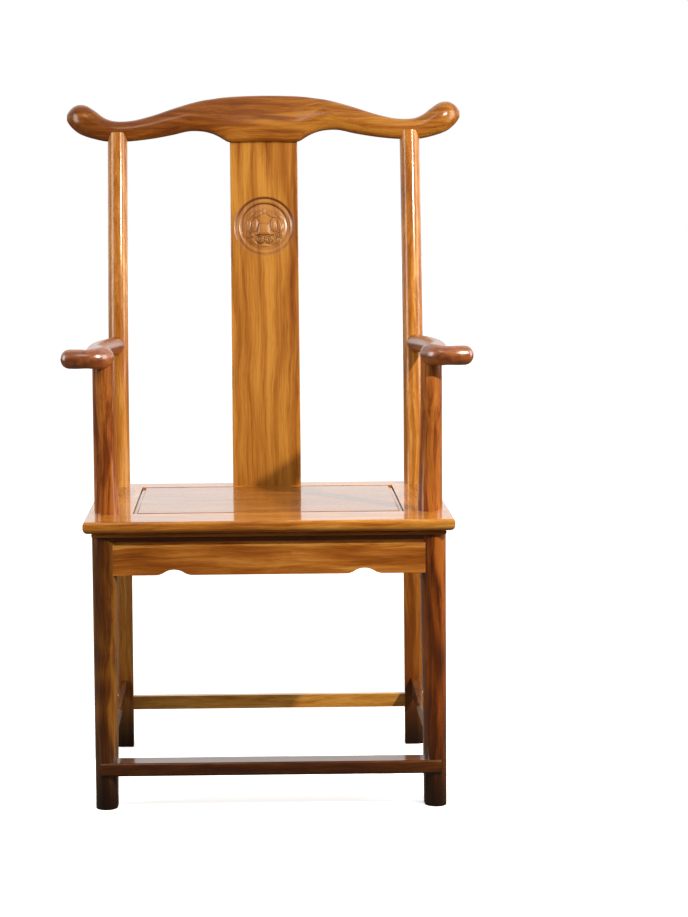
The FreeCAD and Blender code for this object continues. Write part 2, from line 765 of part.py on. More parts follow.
def build():
    """All pieces by name, in the chair's own frame before it is centred."""
    crest = crest_body()
    arm = arm_body()
    front_leg = leg_body(front_leg_y, -1)
    rear_leg = leg_body(rear_leg_y, 1)
    front_legs = [front_leg, mirrored(front_leg)]
    rear_legs = [rear_leg, mirrored(rear_leg)]
    back_post = back_post_upper()
    neck = neck_body()

    pieces = {}

    # Arm and posts: the ends are scribed to the round faces that they meet
    arm_seated = scribed(arm, [back_post])
    arm_seated = arm_seated.fuse(arm_tenon(0)).cut(neck_top_tenon(joint_slack))
    neck_seated = scribed(neck, [arm])
    neck_seated = neck_seated.fuse([neck_foot_tenon(0), neck_top_tenon(0)])
    post_seated = scribed(back_post, [crest])
    post_seated = post_seated.fuse(crest_tenon(0)).cut(arm_tenon(joint_slack))
    crest_cuts = [crest_tenon(joint_slack), mirrored(crest_tenon(joint_slack)),
                  splat_tenons(joint_slack)[1]]

    # Splat between the rear rail and the crest rail
    splat_seated = scribed(splat_piece(), [crest]).fuse(splat_tenons(0))

    # Seat frame, mitred and tenoned, with the panel and the battens
    cross_rail = frame_rail(seat_width)
    side_rail = frame_rail(seat_depth)
    frame_front = set_on("front", cross_rail, 0)
    frame_rear = set_on("rear", cross_rail, 0)
    frame_right = set_on("right", side_rail, 0)
    tenon_front, tenon_rear = mitre_tenons(0)
    frame_right = frame_right.fuse([tenon_front, tenon_rear])
    hole = Part.makeCylinder(back_post_diameter / 2 + joint_slack, frame_thickness + 2 * overrun,
                             Vector(leg_x, rear_leg_y, frame_underside - overrun))
    loose_front, loose_rear = mitre_tenons(joint_slack)
    battens = []
    for side in (-1, 1):
        shift = Vector(side * batten_spacing / 2, 0, 0)
        for maker, slack in ((batten_piece, None), (batten_tenons, joint_slack),
                             (batten_dovetail, joint_slack)):
            shape = maker() if slack is None else maker(slack)
            shape.translate(shift)
            battens.append(shape)
    left_batten, left_sockets, left_ridge, right_batten, right_sockets, right_ridge = battens

    # Aprons and stretchers, trimmed to the legs and tenoned into them
    legs = front_legs + rear_legs
    cross_half = leg_x
    side_half = (rear_leg_y - front_leg_y) / 2
    apron_face = leg_inset - leg_size / 2 + apron_inset
    leg_sockets = []
    frame_grooves = []
    for side, half, scalloped in (("front", cross_half, True), ("rear", cross_half, False),
                                  ("right", side_half, True)):
        body = scribed(set_on(side, apron_body(half, scalloped), apron_face), legs)
        tenons = set_on(side, apron_tenons(half, 0), apron_face)
        tongue = set_on(side, apron_tongue(half, 0), apron_face)
        pieces["apron_" + side] = body.fuse([tenons.common(body.fuse(legs)), tongue])
        leg_sockets.append(set_on(side, apron_tenons(half, joint_slack), apron_face))
        frame_grooves.append(set_on(side, apron_tongue(half, joint_slack), apron_face))
    stretcher_face = leg_inset - stretcher_thickness / 2
    for side, half, top in (("rear", cross_half, rear_stretcher_top),
                            ("right", side_half, side_stretcher_top)):
        inset = stretcher_face
        splay = leg_splay_depth if side == "rear" else leg_splay_side
        inset = inset - splay * splay_at(top - stretcher_height / 2)
        body = stretcher_body(half, top)
        body = scribed(set_on(side, body, inset), legs)
        sizes = (half, stretcher_thickness, top, stretcher_height)
        tenons = set_on(side, stretcher_tenons(*sizes, 0), inset)
        pieces["stretcher_" + side] = body.fuse(tenons)
        leg_sockets.append(set_on(side, stretcher_tenons(*sizes, joint_slack), inset))
    footrest, footrest_front = footrest_body()
    footrest = largest(footrest.cut(front_legs))
    foot_sizes = (cross_half, footrest_depth, footrest_top, footrest_thickness)
    foot_tenons = set_on("front", stretcher_tenons(*foot_sizes, 0), footrest_front)
    pieces["stretcher_front"] = footrest.fuse(foot_tenons)
    leg_sockets.append(set_on("front", stretcher_tenons(*foot_sizes, joint_slack), footrest_front))

    leg_cuts = leg_sockets
    frame_cuts = frame_grooves
    pieces["front_leg_right"] = front_leg.fuse(leg_tenon(0)).cut(leg_cuts)
    pieces["rear_leg_post_right"] = rear_leg.fuse(post_seated).cut(leg_cuts)
    pieces["gooseneck_post_right"] = neck_seated
    pieces["arm_rail_right"] = arm_seated
    pieces["crest_rail"] = crest.cut(crest_cuts)
    pieces["back_splat"] = splat_seated
    corner_cuts = [leg_tenon(joint_slack), hole]
    corner_cuts += [mirrored(shape) for shape in corner_cuts]
    frame_right = frame_right.cut(corner_cuts + frame_cuts + [neck_foot_tenon(joint_slack)])
    pieces["seat_frame_right"] = frame_right
    both_sides = [loose_front, mirrored(loose_front), left_sockets, right_sockets]
    pieces["seat_frame_front"] = frame_front.cut(corner_cuts + frame_cuts + both_sides)
    both_sides = [loose_rear, mirrored(loose_rear), left_sockets, right_sockets]
    pieces["seat_frame_rear"] = frame_rear.cut(
        corner_cuts + frame_cuts + both_sides + [splat_tenons(joint_slack)[0]])
    pieces["seat_panel"] = panel_piece().cut([left_ridge, right_ridge])
    pieces["seat_batten_left"] = left_batten
    pieces["seat_batten_right"] = right_batten
    for name in [name for name in pieces if name.endswith("_right")]:
        if name != "seat_batten_right":
            pieces[name.replace("_right", "_left")] = mirrored(pieces[name])
    return pieces


os.makedirs("parts", exist_ok=True)
for node, solid in sorted(build().items()):
    solid = solid.removeSplitter()
    solid.translate(Vector(0, -centre_y, 0))
    solid.exportStep("parts/" + node + ".step")
    box_size = solid.BoundBox
    print("%-22s solids %d valid %s volume %.0f size %.1f x %.1f x %.1f" % (
        node, len(solid.Solids), solid.isValid(), solid.Volume,
        box_size.XLength, box_size.YLength, box_size.ZLength))
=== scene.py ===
import bmesh
import bpy
import math
from mathutils import Euler, Matrix, Vector


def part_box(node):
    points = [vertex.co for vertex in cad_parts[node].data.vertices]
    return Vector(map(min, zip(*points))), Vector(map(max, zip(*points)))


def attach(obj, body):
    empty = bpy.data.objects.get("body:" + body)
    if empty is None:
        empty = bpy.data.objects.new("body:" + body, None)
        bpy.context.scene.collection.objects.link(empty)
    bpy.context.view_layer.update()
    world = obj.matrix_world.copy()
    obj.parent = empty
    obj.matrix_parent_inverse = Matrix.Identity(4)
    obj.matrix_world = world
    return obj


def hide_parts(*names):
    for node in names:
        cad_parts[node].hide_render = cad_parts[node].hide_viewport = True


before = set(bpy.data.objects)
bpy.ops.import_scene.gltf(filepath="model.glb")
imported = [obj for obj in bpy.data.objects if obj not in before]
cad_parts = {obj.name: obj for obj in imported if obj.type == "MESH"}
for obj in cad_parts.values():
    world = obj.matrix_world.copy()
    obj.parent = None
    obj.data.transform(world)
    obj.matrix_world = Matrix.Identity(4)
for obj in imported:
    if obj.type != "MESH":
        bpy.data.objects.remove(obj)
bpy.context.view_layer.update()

# Official's hat chair. Metres, X across, Y back, Z up, the sitter faces -Y.
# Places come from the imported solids, so the finished pieces stay on the frame.
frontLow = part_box("seat_frame_front")[0]
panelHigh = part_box("seat_panel")[1]
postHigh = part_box("rear_leg_post_right")[1]
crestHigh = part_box("crest_rail")[1]
seatTop = panelHigh.z
seatFront = frontLow.y
seatUnder = frontLow.z
legX = 0.265

# How near two points lie to count as one, in a solid's copy and in a drawn piece
copyReach = 0.00001
drawnReach = 0.00002
# A copy's faces that turn by less are one face, and edges that turn by more are eased
flatAngle = math.radians(0.4)
arrisAngle = math.radians(40)


# Small tools for every piece

def linearColour(hexText):
    channels = [int(hexText[start:start + 2], 16) / 255 for start in (1, 3, 5)]
    return [c / 12.92 if c <= 0.04045 else ((c + 0.055) / 1.055) ** 2.4 for c in channels] + [1]


def addNode(tree, kind, settings, links, **choices):
    node = tree.nodes.new("ShaderNode" + kind)
    for key, value in choices.items():
        setattr(node, key, value)
    for key, value in settings.items():
        node.inputs[key].default_value = value
    for key, socket in links.items():
        tree.links.new(socket, node.inputs[key])
    return node


def pickOnly(piece):
    bpy.ops.object.select_all(action="DESELECT")
    piece.select_set(True)
    bpy.context.view_layer.objects.active = piece


def editAll(piece):
    if bpy.context.object and bpy.context.object.mode != "OBJECT":
        bpy.ops.object.mode_set(mode="OBJECT")
    pickOnly(piece)
    bpy.ops.object.mode_set(mode="EDIT")
    bpy.ops.mesh.select_mode(type="VERT")
    bpy.ops.mesh.select_all(action="SELECT")


def leaveEdit():
    bpy.ops.object.mode_set(mode="OBJECT")


def startRing(name, place, heading, radius, corners):
    # A ring square to its heading, left selected in edit mode to be drawn out
    bpy.ops.object.select_all(action="DESELECT")
    turn = Vector(heading).to_track_quat("Z", "Y").to_euler()
    bpy.ops.mesh.primitive_circle_add(vertices=corners, radius=radius, location=place, rotation=turn)
    piece = bpy.context.object
    piece.name = name
    bpy.ops.object.transform_apply(location=True, rotation=True, scale=True)
    editAll(piece)
    return piece


def drawOut(along):
    bpy.ops.mesh.extrude_region_move(TRANSFORM_OT_translate={"value": along})


def drawRound(middle, axis, angle, steps):
    # Spin counts its angle the other way round
    bpy.ops.mesh.spin(steps=steps, angle=-angle, center=middle, axis=axis)


def drawThrough(name, outlines):
    # A ring is drawn out again and again, and each new one is shaped to its outline; both ends stay open
    piece = startRing(name, (0, 0, 0), (0, 0, 1), 0.02, len(outlines[0]))
    shaped = bmesh.from_edit_mesh(piece.data)
    order, point = [], shaped.verts[:][0]
    edge = point.link_edges[0]
    while point not in order:
        order.append(point)
        point = edge.other_vert(point)
        edge = next(other for other in point.link_edges if other is not edge)
    for index, outline in enumerate(outlines):
        if index:
            drawOut((0, 0, 0.01))
            shaped = bmesh.from_edit_mesh(piece.data)
            order = [next(edge.other_vert(point) for edge in point.link_edges
                          if edge.other_vert(point).select) for point in order]
        for point, place in zip(order, outline):
            point.co = place
        bmesh.update_edit_mesh(piece.data)
    leaveEdit()
    return piece


def capEnds(piece):
    editAll(piece)
    bpy.ops.mesh.select_all(action="DESELECT")
    bpy.ops.mesh.select_non_manifold()
    bpy.ops.mesh.edge_face_add()
    leaveEdit()


def flowing(rows, spot):
    # A smooth curve through the rows, read at a place between two of them
    index = max(0, min(int(spot), len(rows) - 2))
    part = spot - index
    before, start, end, after = (rows[max(0, min(index + step, len(rows) - 1))] for step in (-1, 0, 1, 2))
    return [0.5 * (2 * b + (c - a) * part + (2 * a - 5 * b + 4 * c - d) * part ** 2
                   + (3 * b - a - 3 * c + d) * part ** 3)
            for a, b, c, d in zip(before, start, end, after)]


def flowAt(rows, share):
    # The same, read at a share that each row starts with
    for index, (near, far) in enumerate(zip(rows, rows[1:])):
        if near[0] <= share <= far[0]:
            return flowing(rows, index + (share - near[0]) / (far[0] - near[0]))
    return rows[-1]


def roundOutline(middle, heading, upright, radius, corners):
    side = heading.cross(upright).normalized()
    top = side.cross(heading).normalized()
    turns = [2 * math.pi * index / corners for index in range(corners)]
    return [middle + (side * math.cos(turn) + top * math.sin(turn)) * radius for turn in turns]


def applyModifier(piece, kind, **settings):
    pickOnly(piece)
    modifier = piece.modifiers.new(kind.title(), kind)
    for key, value in settings.items():
        setattr(modifier, key, value)
    bpy.ops.object.modifier_apply(modifier=modifier.name)


def closeShape(piece):
    # Doubles go first, then the faces are all turned outwards
    editAll(piece)
    bpy.ops.mesh.remove_doubles(threshold=drawnReach)
    bpy.ops.mesh.select_all(action="SELECT")
    bpy.ops.mesh.normals_make_consistent(inside=False)
    leaveEdit()


def mirrorCopy(piece, name):
    twin = piece.copy()
    twin.data = piece.data.copy()
    twin.name = name
    bpy.context.collection.objects.link(twin)
    for point in twin.data.vertices:
        point.co.x = -point.co.x
    closeShape(twin)
    return twin


def setPiece(piece, nodes, material, sharpAngle=35, flat=False):
    pickOnly(piece)
    bpy.ops.object.shade_smooth_by_angle(angle=math.radians(sharpAngle))
    if flat:  # broad faces keep their own normals, so only the eased arrises shade round
        applyModifier(piece, "WEIGHTED_NORMAL", mode="FACE_AREA", weight=50, keep_sharp=True)
    piece.data.materials.clear()
    piece.data.materials.append(material)
    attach(piece, "root")
    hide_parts(*nodes)


# Hardwood finishes: oiled golden rosewood, satin itself, under clear lacquer that adds a sharp shine

# How much painted shade lies at each share of the carving's radius, by the walls of its two steps
paintedShadeShares = ((0.735, 0.0), (0.765, 1.0), (0.785, 0.75), (0.81, 0.0), (0.905, 0.0), (0.93, 1.0),
                  (0.97, 0.8), (0.998, 0.0))


def woodFigure(tree, finish, place):
    grainAxis = "XYZ".index(finish["grain"])
    # No stick grows straight: its grain wanders sideways by a few millimetres in every hand's width
    wander = addNode(tree, "TexNoise", {"Scale": 8.0, "Detail": 1.0},
                     {"Vector": place}).outputs["Color"]
    grown = addNode(tree, "VectorMath", {1: [finish["wander"]] * 3}, {0: wander, 2: place},
                    operation="MULTIPLY_ADD").outputs["Vector"]
    stretched = {}
    runs = {"zones": finish["zoneRun"], "streaks": finish["streakRun"], "pores": 0.03}
    for layer, lengthwise in runs.items():
        scale = list(finish["across"])
        scale[grainAxis] = lengthwise  # a layer's marks are this much shorter across the grain than along it
        stretched[layer] = addNode(tree, "Mapping", {"Location": finish["pith"], "Scale": scale},
                                   {"Vector": grown}).outputs["Vector"]
    # Zones of tone 30 to 50 mm across, streaks of 7 mm in them, threads of 2 mm in those
    zones = addNode(tree, "TexNoise",
                    {"Scale": finish["zoneScale"], "Detail": 2.0, "Roughness": 0.5, "Distortion": 0.3},
                    {"Vector": stretched["zones"]}).outputs["Fac"]
    streaks = addNode(tree, "TexNoise",
                      {"Scale": 140.0, "Detail": 4.0, "Roughness": 0.6, "Distortion": 0.5},
                      {"Vector": stretched["streaks"]}).outputs["Fac"]
    threads = addNode(tree, "TexNoise", {"Scale": 520.0, "Detail": 2.0, "Roughness": 0.6},
                      {"Vector": stretched["streaks"]}).outputs["Fac"]
    # Growth lines are the contours of a slow swell in the board, some 12 mm apart and never even
    board = addNode(tree, "TexNoise", {"Scale": 11.0, "Detail": 1.0, "Roughness": 0.4},
                    {"Vector": stretched["zones"]}).outputs["Fac"]
    spread = addNode(tree, "Math", {1: finish["lineCount"]}, {0: board}, operation="MULTIPLY")
    growth = addNode(tree, "Math", {}, {0: spread.outputs["Value"]},
                     operation="SINE").outputs["Value"]
    lines = addNode(tree, "MapRange", {"From Min": -1.0, "To Min": 0.3, "To Max": 0.62},
                    {"Value": growth}).outputs["Result"]
    streaked = addNode(tree, "Mix", {"Factor": finish["streakShare"]},
                       {"A": zones, "B": streaks}).outputs["Result"]
    threaded = addNode(tree, "Mix", {"Factor": finish["threadShare"]},
                       {"A": streaked, "B": threads}).outputs["Result"]
    figured = addNode(tree, "Mix", {"Factor": finish["lineShare"]},
                      {"A": threaded, "B": lines}).outputs["Result"]
    if "sapAndPaintedLight" in finish:  # paler sapwood, or darker wood if it is negative, beyond a slanting, ragged edge; on the splat and back post this edge paints shade, on the front legs and aprons it paints light
        slant, edge, fade, paler = finish["sapAndPaintedLight"]
        across = addNode(tree, "VectorMath", {1: slant}, {0: grown}, operation="DOT_PRODUCT")
        ragged = addNode(tree, "Math", {1: 0.022}, {0: streaks, 2: across.outputs["Value"]},
                         operation="MULTIPLY_ADD").outputs["Value"]
        beyond = addNode(tree, "MapRange",
                         {"From Min": edge, "From Max": edge + fade, "To Max": paler},
                         {"Value": ragged}).outputs["Result"]
        figured = addNode(tree, "Math", {}, {0: figured, 1: beyond},
                          operation="ADD").outputs["Value"]
    # Open pores: dark dashes about 0.7 mm wide, drawn a little coarser than real to show
    pores = addNode(tree, "TexNoise", {"Scale": 950.0, "Detail": 2.0, "Roughness": 0.5},
                    {"Vector": stretched["pores"]}).outputs["Fac"]
    return figured, streaks, pores


def paintedCarvingShade(tree, cut, place, height):
    # Painted shade: darkest under the carving's upper walls, which face away from light from above, and in
    # its hollows
    carvingMiddle, carvingRadius = cut
    away = addNode(tree, "VectorMath", {1: carvingMiddle}, {0: place}, operation="DISTANCE")
    part = addNode(tree, "Math", {1: carvingRadius}, {0: away.outputs["Value"]},
                   operation="DIVIDE")
    steps = addNode(tree, "ValToRGB", {}, {"Fac": part.outputs["Value"]})
    marks = steps.color_ramp.elements
    for mark, (where, strength) in zip(marks, (paintedShadeShares[0], paintedShadeShares[-1])):
        mark.position, mark.color = where, (strength, strength, strength, 1)
    for where, strength in paintedShadeShares[1:-1]:
        marks.new(where).color = (strength, strength, strength, 1)
    # The painted shade is stronger towards the top of the carving
    upper = addNode(tree, "MapRange", {"From Min": carvingMiddle.z - 0.02,
                                       "From Max": carvingMiddle.z + 0.022, "To Max": 0.82},
                    {"Value": height}).outputs["Result"]
    carvingShade = addNode(tree, "Math", {}, {0: steps.outputs["Color"], 1: upper},
                       operation="MULTIPLY").outputs["Value"]
    # The hollows' painted shade, worked out at each point of the carving
    hollow = addNode(tree, "Attribute", {}, {}, attribute_name="hollow").outputs["Fac"]
    return addNode(tree, "Math", {}, {0: carvingShade, 1: hollow}, operation="MAXIMUM").outputs["Value"]


def lacqueredRosewood(name, finish):
    material = bpy.data.materials.new(name)
    material.use_nodes = True
    tree = material.node_tree
    shader = tree.nodes["Principled BSDF"]
    place = addNode(tree, "TexCoord", {}, {}).outputs["Object"]
    figured, streaks, pores = woodFigure(tree, finish, place)
    ramp = addNode(tree, "ValToRGB", {}, {"Fac": figured})
    stops = ramp.color_ramp.elements
    stops[0].position, stops[0].color = 0.34, linearColour(finish["dark"])
    stops[1].position, stops[1].color = 0.64, linearColour(finish["light"])
    for where, tint in ((0.44, "brown"), (0.53, "honey")):
        stops.new(where).color = linearColour(finish[tint])
    poreMask = addNode(tree, "MapRange",
                       {"From Min": 0.57, "From Max": 0.72, "To Max": finish["pores"]},
                       {"Value": pores}).outputs["Result"]
    pored = addNode(tree, "Mix", {"B": linearColour(finish["pore"])},
                    {"Factor": poreMask, "A": ramp.outputs["Color"]}, data_type="RGBA")
    # Painted shade near the floor: the feet are darkened nearly to black, fading out by the height of the
    # stretchers
    height = addNode(tree, "SeparateXYZ", {}, {"Vector": place}).outputs["Z"]
    foot = addNode(tree, "MapRange", {"From Max": finish["footShadeTop"], "To Min": 0.97, "To Max": 0.0},
                   {"Value": height}, interpolation_type="SMOOTHSTEP").outputs["Result"]
    darkened = addNode(tree, "Mix", {"B": linearColour("#120401")},
                       {"Factor": foot, "A": pored.outputs["Result"]}, data_type="RGBA").outputs["Result"]
    if "shadeUnderSeatFrom" in finish:  # painted shade: a dark red band close under the seat's edge, where the frame's overhang shades the apron
        clear = finish["shadeUnderSeatFrom"]
        underSeatShade = addNode(tree, "MapRange",
                          {"From Min": clear, "From Max": clear + 0.003, "To Max": 0.8},
                          {"Value": height}).outputs["Result"]
        darkened = addNode(tree, "Mix", {"B": linearColour("#46100A")},
                           {"Factor": underSeatShade, "A": darkened}, data_type="RGBA").outputs["Result"]
    # The carving's painted shade under its upper walls and in its hollows
    if "cut" in finish:
        carvingShade = paintedCarvingShade(tree, finish["cut"], place, height)
        darkened = addNode(tree, "Mix", {"B": linearColour("#54200A")},
                           {"Factor": carvingShade, "A": darkened}, data_type="RGBA").outputs["Result"]
    tree.links.new(darkened, shader.inputs["Base Color"])
    matt = addNode(tree, "MapRange", {"To Min": 0.36, "To Max": 0.52},
                   {"Value": streaks}).outputs["Result"]
    tree.links.new(matt, shader.inputs["Roughness"])
    relief = addNode(tree, "Bump", {"Strength": 0.3, "Distance": 0.0002}, {"Height": pores},
                     invert=True).outputs["Normal"]
    tree.links.new(relief, shader.inputs["Normal"])
    # Hand-rubbed lacquer is never dead flat: slow swells of a fraction of a millimetre waver what it mirrors
    slow = addNode(tree, "TexNoise", {"Scale": 22.0, "Detail": 1.0}, {"Vector": place}).outputs["Fac"]
    waver = addNode(tree, "Bump", {"Strength": 0.5, "Distance": finish["waver"]},
                    {"Height": slow}).outputs["Normal"]
    tree.links.new(waver, shader.inputs["Coat Normal"])
    shader.inputs["IOR"].default_value = 1.5
    # Lacquer soaked into the wood hides most of its own sheen
    shader.inputs["Specular IOR Level"].default_value = 0.12
    shader.inputs["Coat Weight"].default_value = finish["gloss"]
    shader.inputs["Coat Roughness"].default_value = finish["coatRoughness"]
    shader.inputs["Coat IOR"].default_value = finish["coatIor"]
    return material


honeyTones = {"light": "#D6A04C", "honey": "#C07E32", "brown": "#A46420", "dark": "#7E4414",
              "pore": "#5A2C0A", "zoneScale": 20.0, "zoneRun": 0.16, "streakShare": 0.62, "streakRun": 0.05,
              "threadShare": 0.18, "lineCount": 60.0, "lineShare": 0.14, "pores": 0.4, "across": (1, 1, 1),
              "wander": 0.016, "waver": 0.0003, "gloss": 0.95, "coatRoughness": 0.08, "coatIor": 1.5,
              "footShadeTop": 0.16}
redTones = dict(honeyTones, light="#B87032", honey="#985220", brown="#783A12", dark="#54220A", pore="#3A1606")
legTones = dict(redTones, light="#9A5A1E", honey="#7A4012", brown="#5E2C0A", dark="#3E1A06")
# The left front leg's darker copy of the leg tones is painted shade, as the light falls from the right
shadedLeftLegTones = dict(legTones, light="#94601C", honey="#6C3E10", brown="#4E2608", dark="#341604")
# Aprons get a band of painted shade close under the seat's edge
apronTones = dict(honeyTones, light="#D49A48", honey="#B8722A", brown="#985618", dark="#6C340E",
                  shadeUnderSeatFrom=0.44)
crestTones = dict(honeyTones, light="#B0762A", honey="#8E5217", brown="#763E0E", dark="#54270A",
                  coatRoughness=0.2)
# The splat's board was bent along its grain, so its streaks hardly change with depth and run its whole height
# Below and left of the splat's slanting edge the wood is paler, so its upper right reads darker: painted
# shade under the crest rail
splatTones = dict(honeyTones, grain="Z", pith=(0.16, -0.2, 0.3), across=(1, 0.08, 1), zoneRun=0.05,
                  streakRun=0.03, light="#C48A3A", honey="#A86C27", brown="#864A17", dark="#52250A",
                  wander=0.015, threadShare=0.24, sapAndPaintedLight=((-2.4, 0, -1), -1.11, 0.07, 0.08), zoneScale=34.0,
                  lineCount=76.0, lineShare=0.32)
woods = {}
for woodName, tones, changes in (
        ("splatRosewood", splatTones, {}),
        # On the back posts the negative edge darkens the right back leg under the seat: painted shade
        ("postRosewood", honeyTones, {"grain": "Z", "pith": (0.05, 0.3, 0.0), "light": "#E2B062",
                                      "lineShare": 0.24, "zoneRun": 0.07, "streakRun": 0.03,
                                      "coatRoughness": 0.15, "sapAndPaintedLight": ((1, 0, -0.5), 0.045, 0.02, -0.13)}),
        ("neckRosewood", redTones, {"grain": "Z", "pith": (0.35, 0.6, 0.0), "light": "#CC8438",
                                    "honey": "#A86226"}),
        # On the right front leg the edge paints a paler strip up its outer side: painted light where the lamp
        # falls
        ("legRosewood", legTones, {"grain": "Z", "pith": (0.1, 0.1, 1.3), "light": "#A65E20",
                                   "honey": "#84420F", "lineShare": 0.26,
                                   "sapAndPaintedLight": ((1, 0, 0.12), 0.3366, 0.006, 0.16)}),
        # Left front leg: darker tones as painted shade, and a paler strip on its inner side as painted light
        ("shadedLeftLegRosewood", shadedLeftLegTones, {"grain": "Z", "pith": (0.3, 0.1, 1.3), "lineShare": 0.22,
                                           "sapAndPaintedLight": ((1, 0, 0.01), -0.2455, 0.011, 0.075)}),
        ("crestRosewood", crestTones, {"grain": "X", "pith": (0.4, 0.1, -0.98), "lineShare": 0.2,
                                        "sapAndPaintedLight": ((0.211, 0, -1), -1.134, 0.011, 0.09)}),
        ("armRosewood", redTones, {"grain": "Y", "pith": (0.12, 0.7, -0.6), "coatRoughness": 0.28,
                                   "coatIor": 2.05}),
        ("frameRosewood", honeyTones, {"grain": "X", "pith": (0.9, 0.2, -0.38), "honey": "#C4802E"}),
        ("sideFrameRosewood", honeyTones, {"grain": "Y", "pith": (0.2, 0.9, -0.38), "honey": "#C4802E"}),
        ("panelRosewood", honeyTones, {"grain": "X", "pith": (1.9, 0.5, -0.3), "light": "#C08C3C",
                                       "honey": "#A86A2A", "brown": "#8E541C", "dark": "#6C3A10"}),
        # On the front and back aprons the edge paints a paler line along the top: a painted highlight on the
        # top arris
        ("apronRosewood", apronTones, {"grain": "X", "pith": (2.6, 0.2, -0.3), "lineShare": 0.24,
                                       "sapAndPaintedLight": ((0, 0, 1), 0.451, 0.006, 0.12)}),
        ("sideApronRosewood", apronTones, {"grain": "Y", "pith": (0.3, 1.6, -0.3), "lineShare": 0.22}),
        ("rearRailRosewood", honeyTones, {"grain": "X", "pith": (2.2, 0.9, -0.1), "light": "#F0C466",
                                          "honey": "#E0A44C", "brown": "#C48634", "footShadeTop": 0.04}),
        ("stretcherRosewood", legTones, {"grain": "X", "pith": (3.1, 0.4, -0.3)}),
        ("sideStretcherRosewood", legTones, {"grain": "Y", "pith": (0.6, 3.1, -0.3)})):
    woods[woodName] = lacqueredRosewood(woodName, dict(tones, **changes))
print("finishes made:", len(woods))


# Camera, from the photograph's own perspective: a long lens at a little under chair-back height

camera = {"place": (-0.0206, seatFront - 3.548, 1.006), "pitch": -6.86, "turn": -0.30, "roll": -0.56,
          "focalPixels": 2230, "imageWidth": 688, "shiftPixels": 77}
bpy.ops.object.camera_add(location=camera["place"])
viewer = bpy.context.object
aim = Euler((math.radians(90 + camera["pitch"]), 0, math.radians(camera["turn"]))).to_matrix()
viewer.rotation_euler = (aim @ Matrix.Rotation(math.radians(camera["roll"]), 3, "Z")).to_euler()
viewer.data.sensor_fit = "HORIZONTAL"
viewer.data.lens = viewer.data.sensor_width * camera["focalPixels"] / camera["imageWidth"]
viewer.data.shift_x = camera["shiftPixels"] / camera["imageWidth"]
viewer.data.clip_end = 60
bpy.context.scene.camera = viewer
bpy.context.scene.view_settings.view_transform = "Standard"

# Studio light: a narrow lamp high on the right throws the arm's shadow on the splat's foot, cloths fill in
lamps = {
    "keySpot": {"kind": "SPOT", "aim": (0, 0, 0.78), "place": (1.19, -1.33, 1.66), "watts": 170,
                "tint": "#FFF1DC", "spread": 66, "blend": 0.5, "softRadius": 0.035},
    "leftCloth": {"kind": "AREA", "aim": (0, 0, 1.0), "place": (-2.2, -0.75, 1.3), "size": (1.0, 1.5),
                  "watts": 27, "tint": "#FFFCF8"},
    "rightCloth": {"kind": "AREA", "aim": (0, 0, 1.0), "place": (2.2, -0.35, 1.3), "size": (0.95, 1.5),
                   "watts": 25, "tint": "#FFF8F0"},
    "topCloth": {"kind": "AREA", "aim": (0, -0.1, 0.8), "place": (-0.45, -1.45, 2.25), "size": (0.7, 0.5),
                 "watts": 4, "tint": "#FFFAF2"},
}
for lampName, lamp in lamps.items():
    away = Vector(lamp["place"]) - Vector(lamp["aim"])
    bpy.ops.object.light_add(type=lamp["kind"], location=lamp["place"],
                             rotation=away.to_track_quat("Z", "Y").to_euler())
    light = bpy.context.object
    light.name = lampName
    light.data.energy = lamp["watts"]
    light.data.color = linearColour(lamp["tint"])[:3]
    if lamp["kind"] == "SPOT":
        light.data.spot_size, light.data.spot_blend = math.radians(lamp["spread"]), lamp["blend"]
        light.data.shadow_soft_size = lamp["softRadius"]
    else:
        light.data.shape = "RECTANGLE"
        light.data.size, light.data.size_y = lamp["size"]

# The room is white behind, pale above, and warm and dim on the camera's side, as the seat and legs mirror it
room = {"near": (0.065, 0.045, 0.03, 1), "far": (1.12, 1.11, 1.09, 1)}
studio = bpy.data.worlds.new("paleStudio")
studio.use_nodes = True
bpy.context.scene.world = studio
sky = studio.node_tree
bearing = addNode(sky, "TexCoord", {}, {}).outputs["Generated"]
split = addNode(sky, "SeparateXYZ", {}, {"Vector": bearing}).outputs
backWall = addNode(sky, "MapRange", {"From Min": -0.25, "From Max": 0.6}, {"Value": split["Y"]},
                   interpolation_type="SMOOTHSTEP").outputs["Result"]
ceiling = addNode(sky, "MapRange", {"From Min": 0.4, "From Max": 0.95}, {"Value": split["Z"]},
                  interpolation_type="SMOOTHSTEP").outputs["Result"]
ceiling = addNode(sky, "Math", {1: 0.3}, {0: ceiling}, operation="MULTIPLY").outputs["Value"]
bright = addNode(sky, "Math", {}, {0: backWall, 1: ceiling}, operation="MAXIMUM").outputs["Value"]
graded = addNode(sky, "Mix", {"A": room["near"], "B": room["far"]}, {"Factor": bright},
                 data_type="RGBA").outputs["Result"]
eye = addNode(sky, "LightPath", {}, {}).outputs["Is Camera Ray"]
shown = addNode(sky, "Mix", {"B": (1, 1, 1, 1)}, {"Factor": eye, "A": graded}, data_type="RGBA")
sky.links.new(shown.outputs["Result"], sky.nodes["Background"].inputs["Color"])

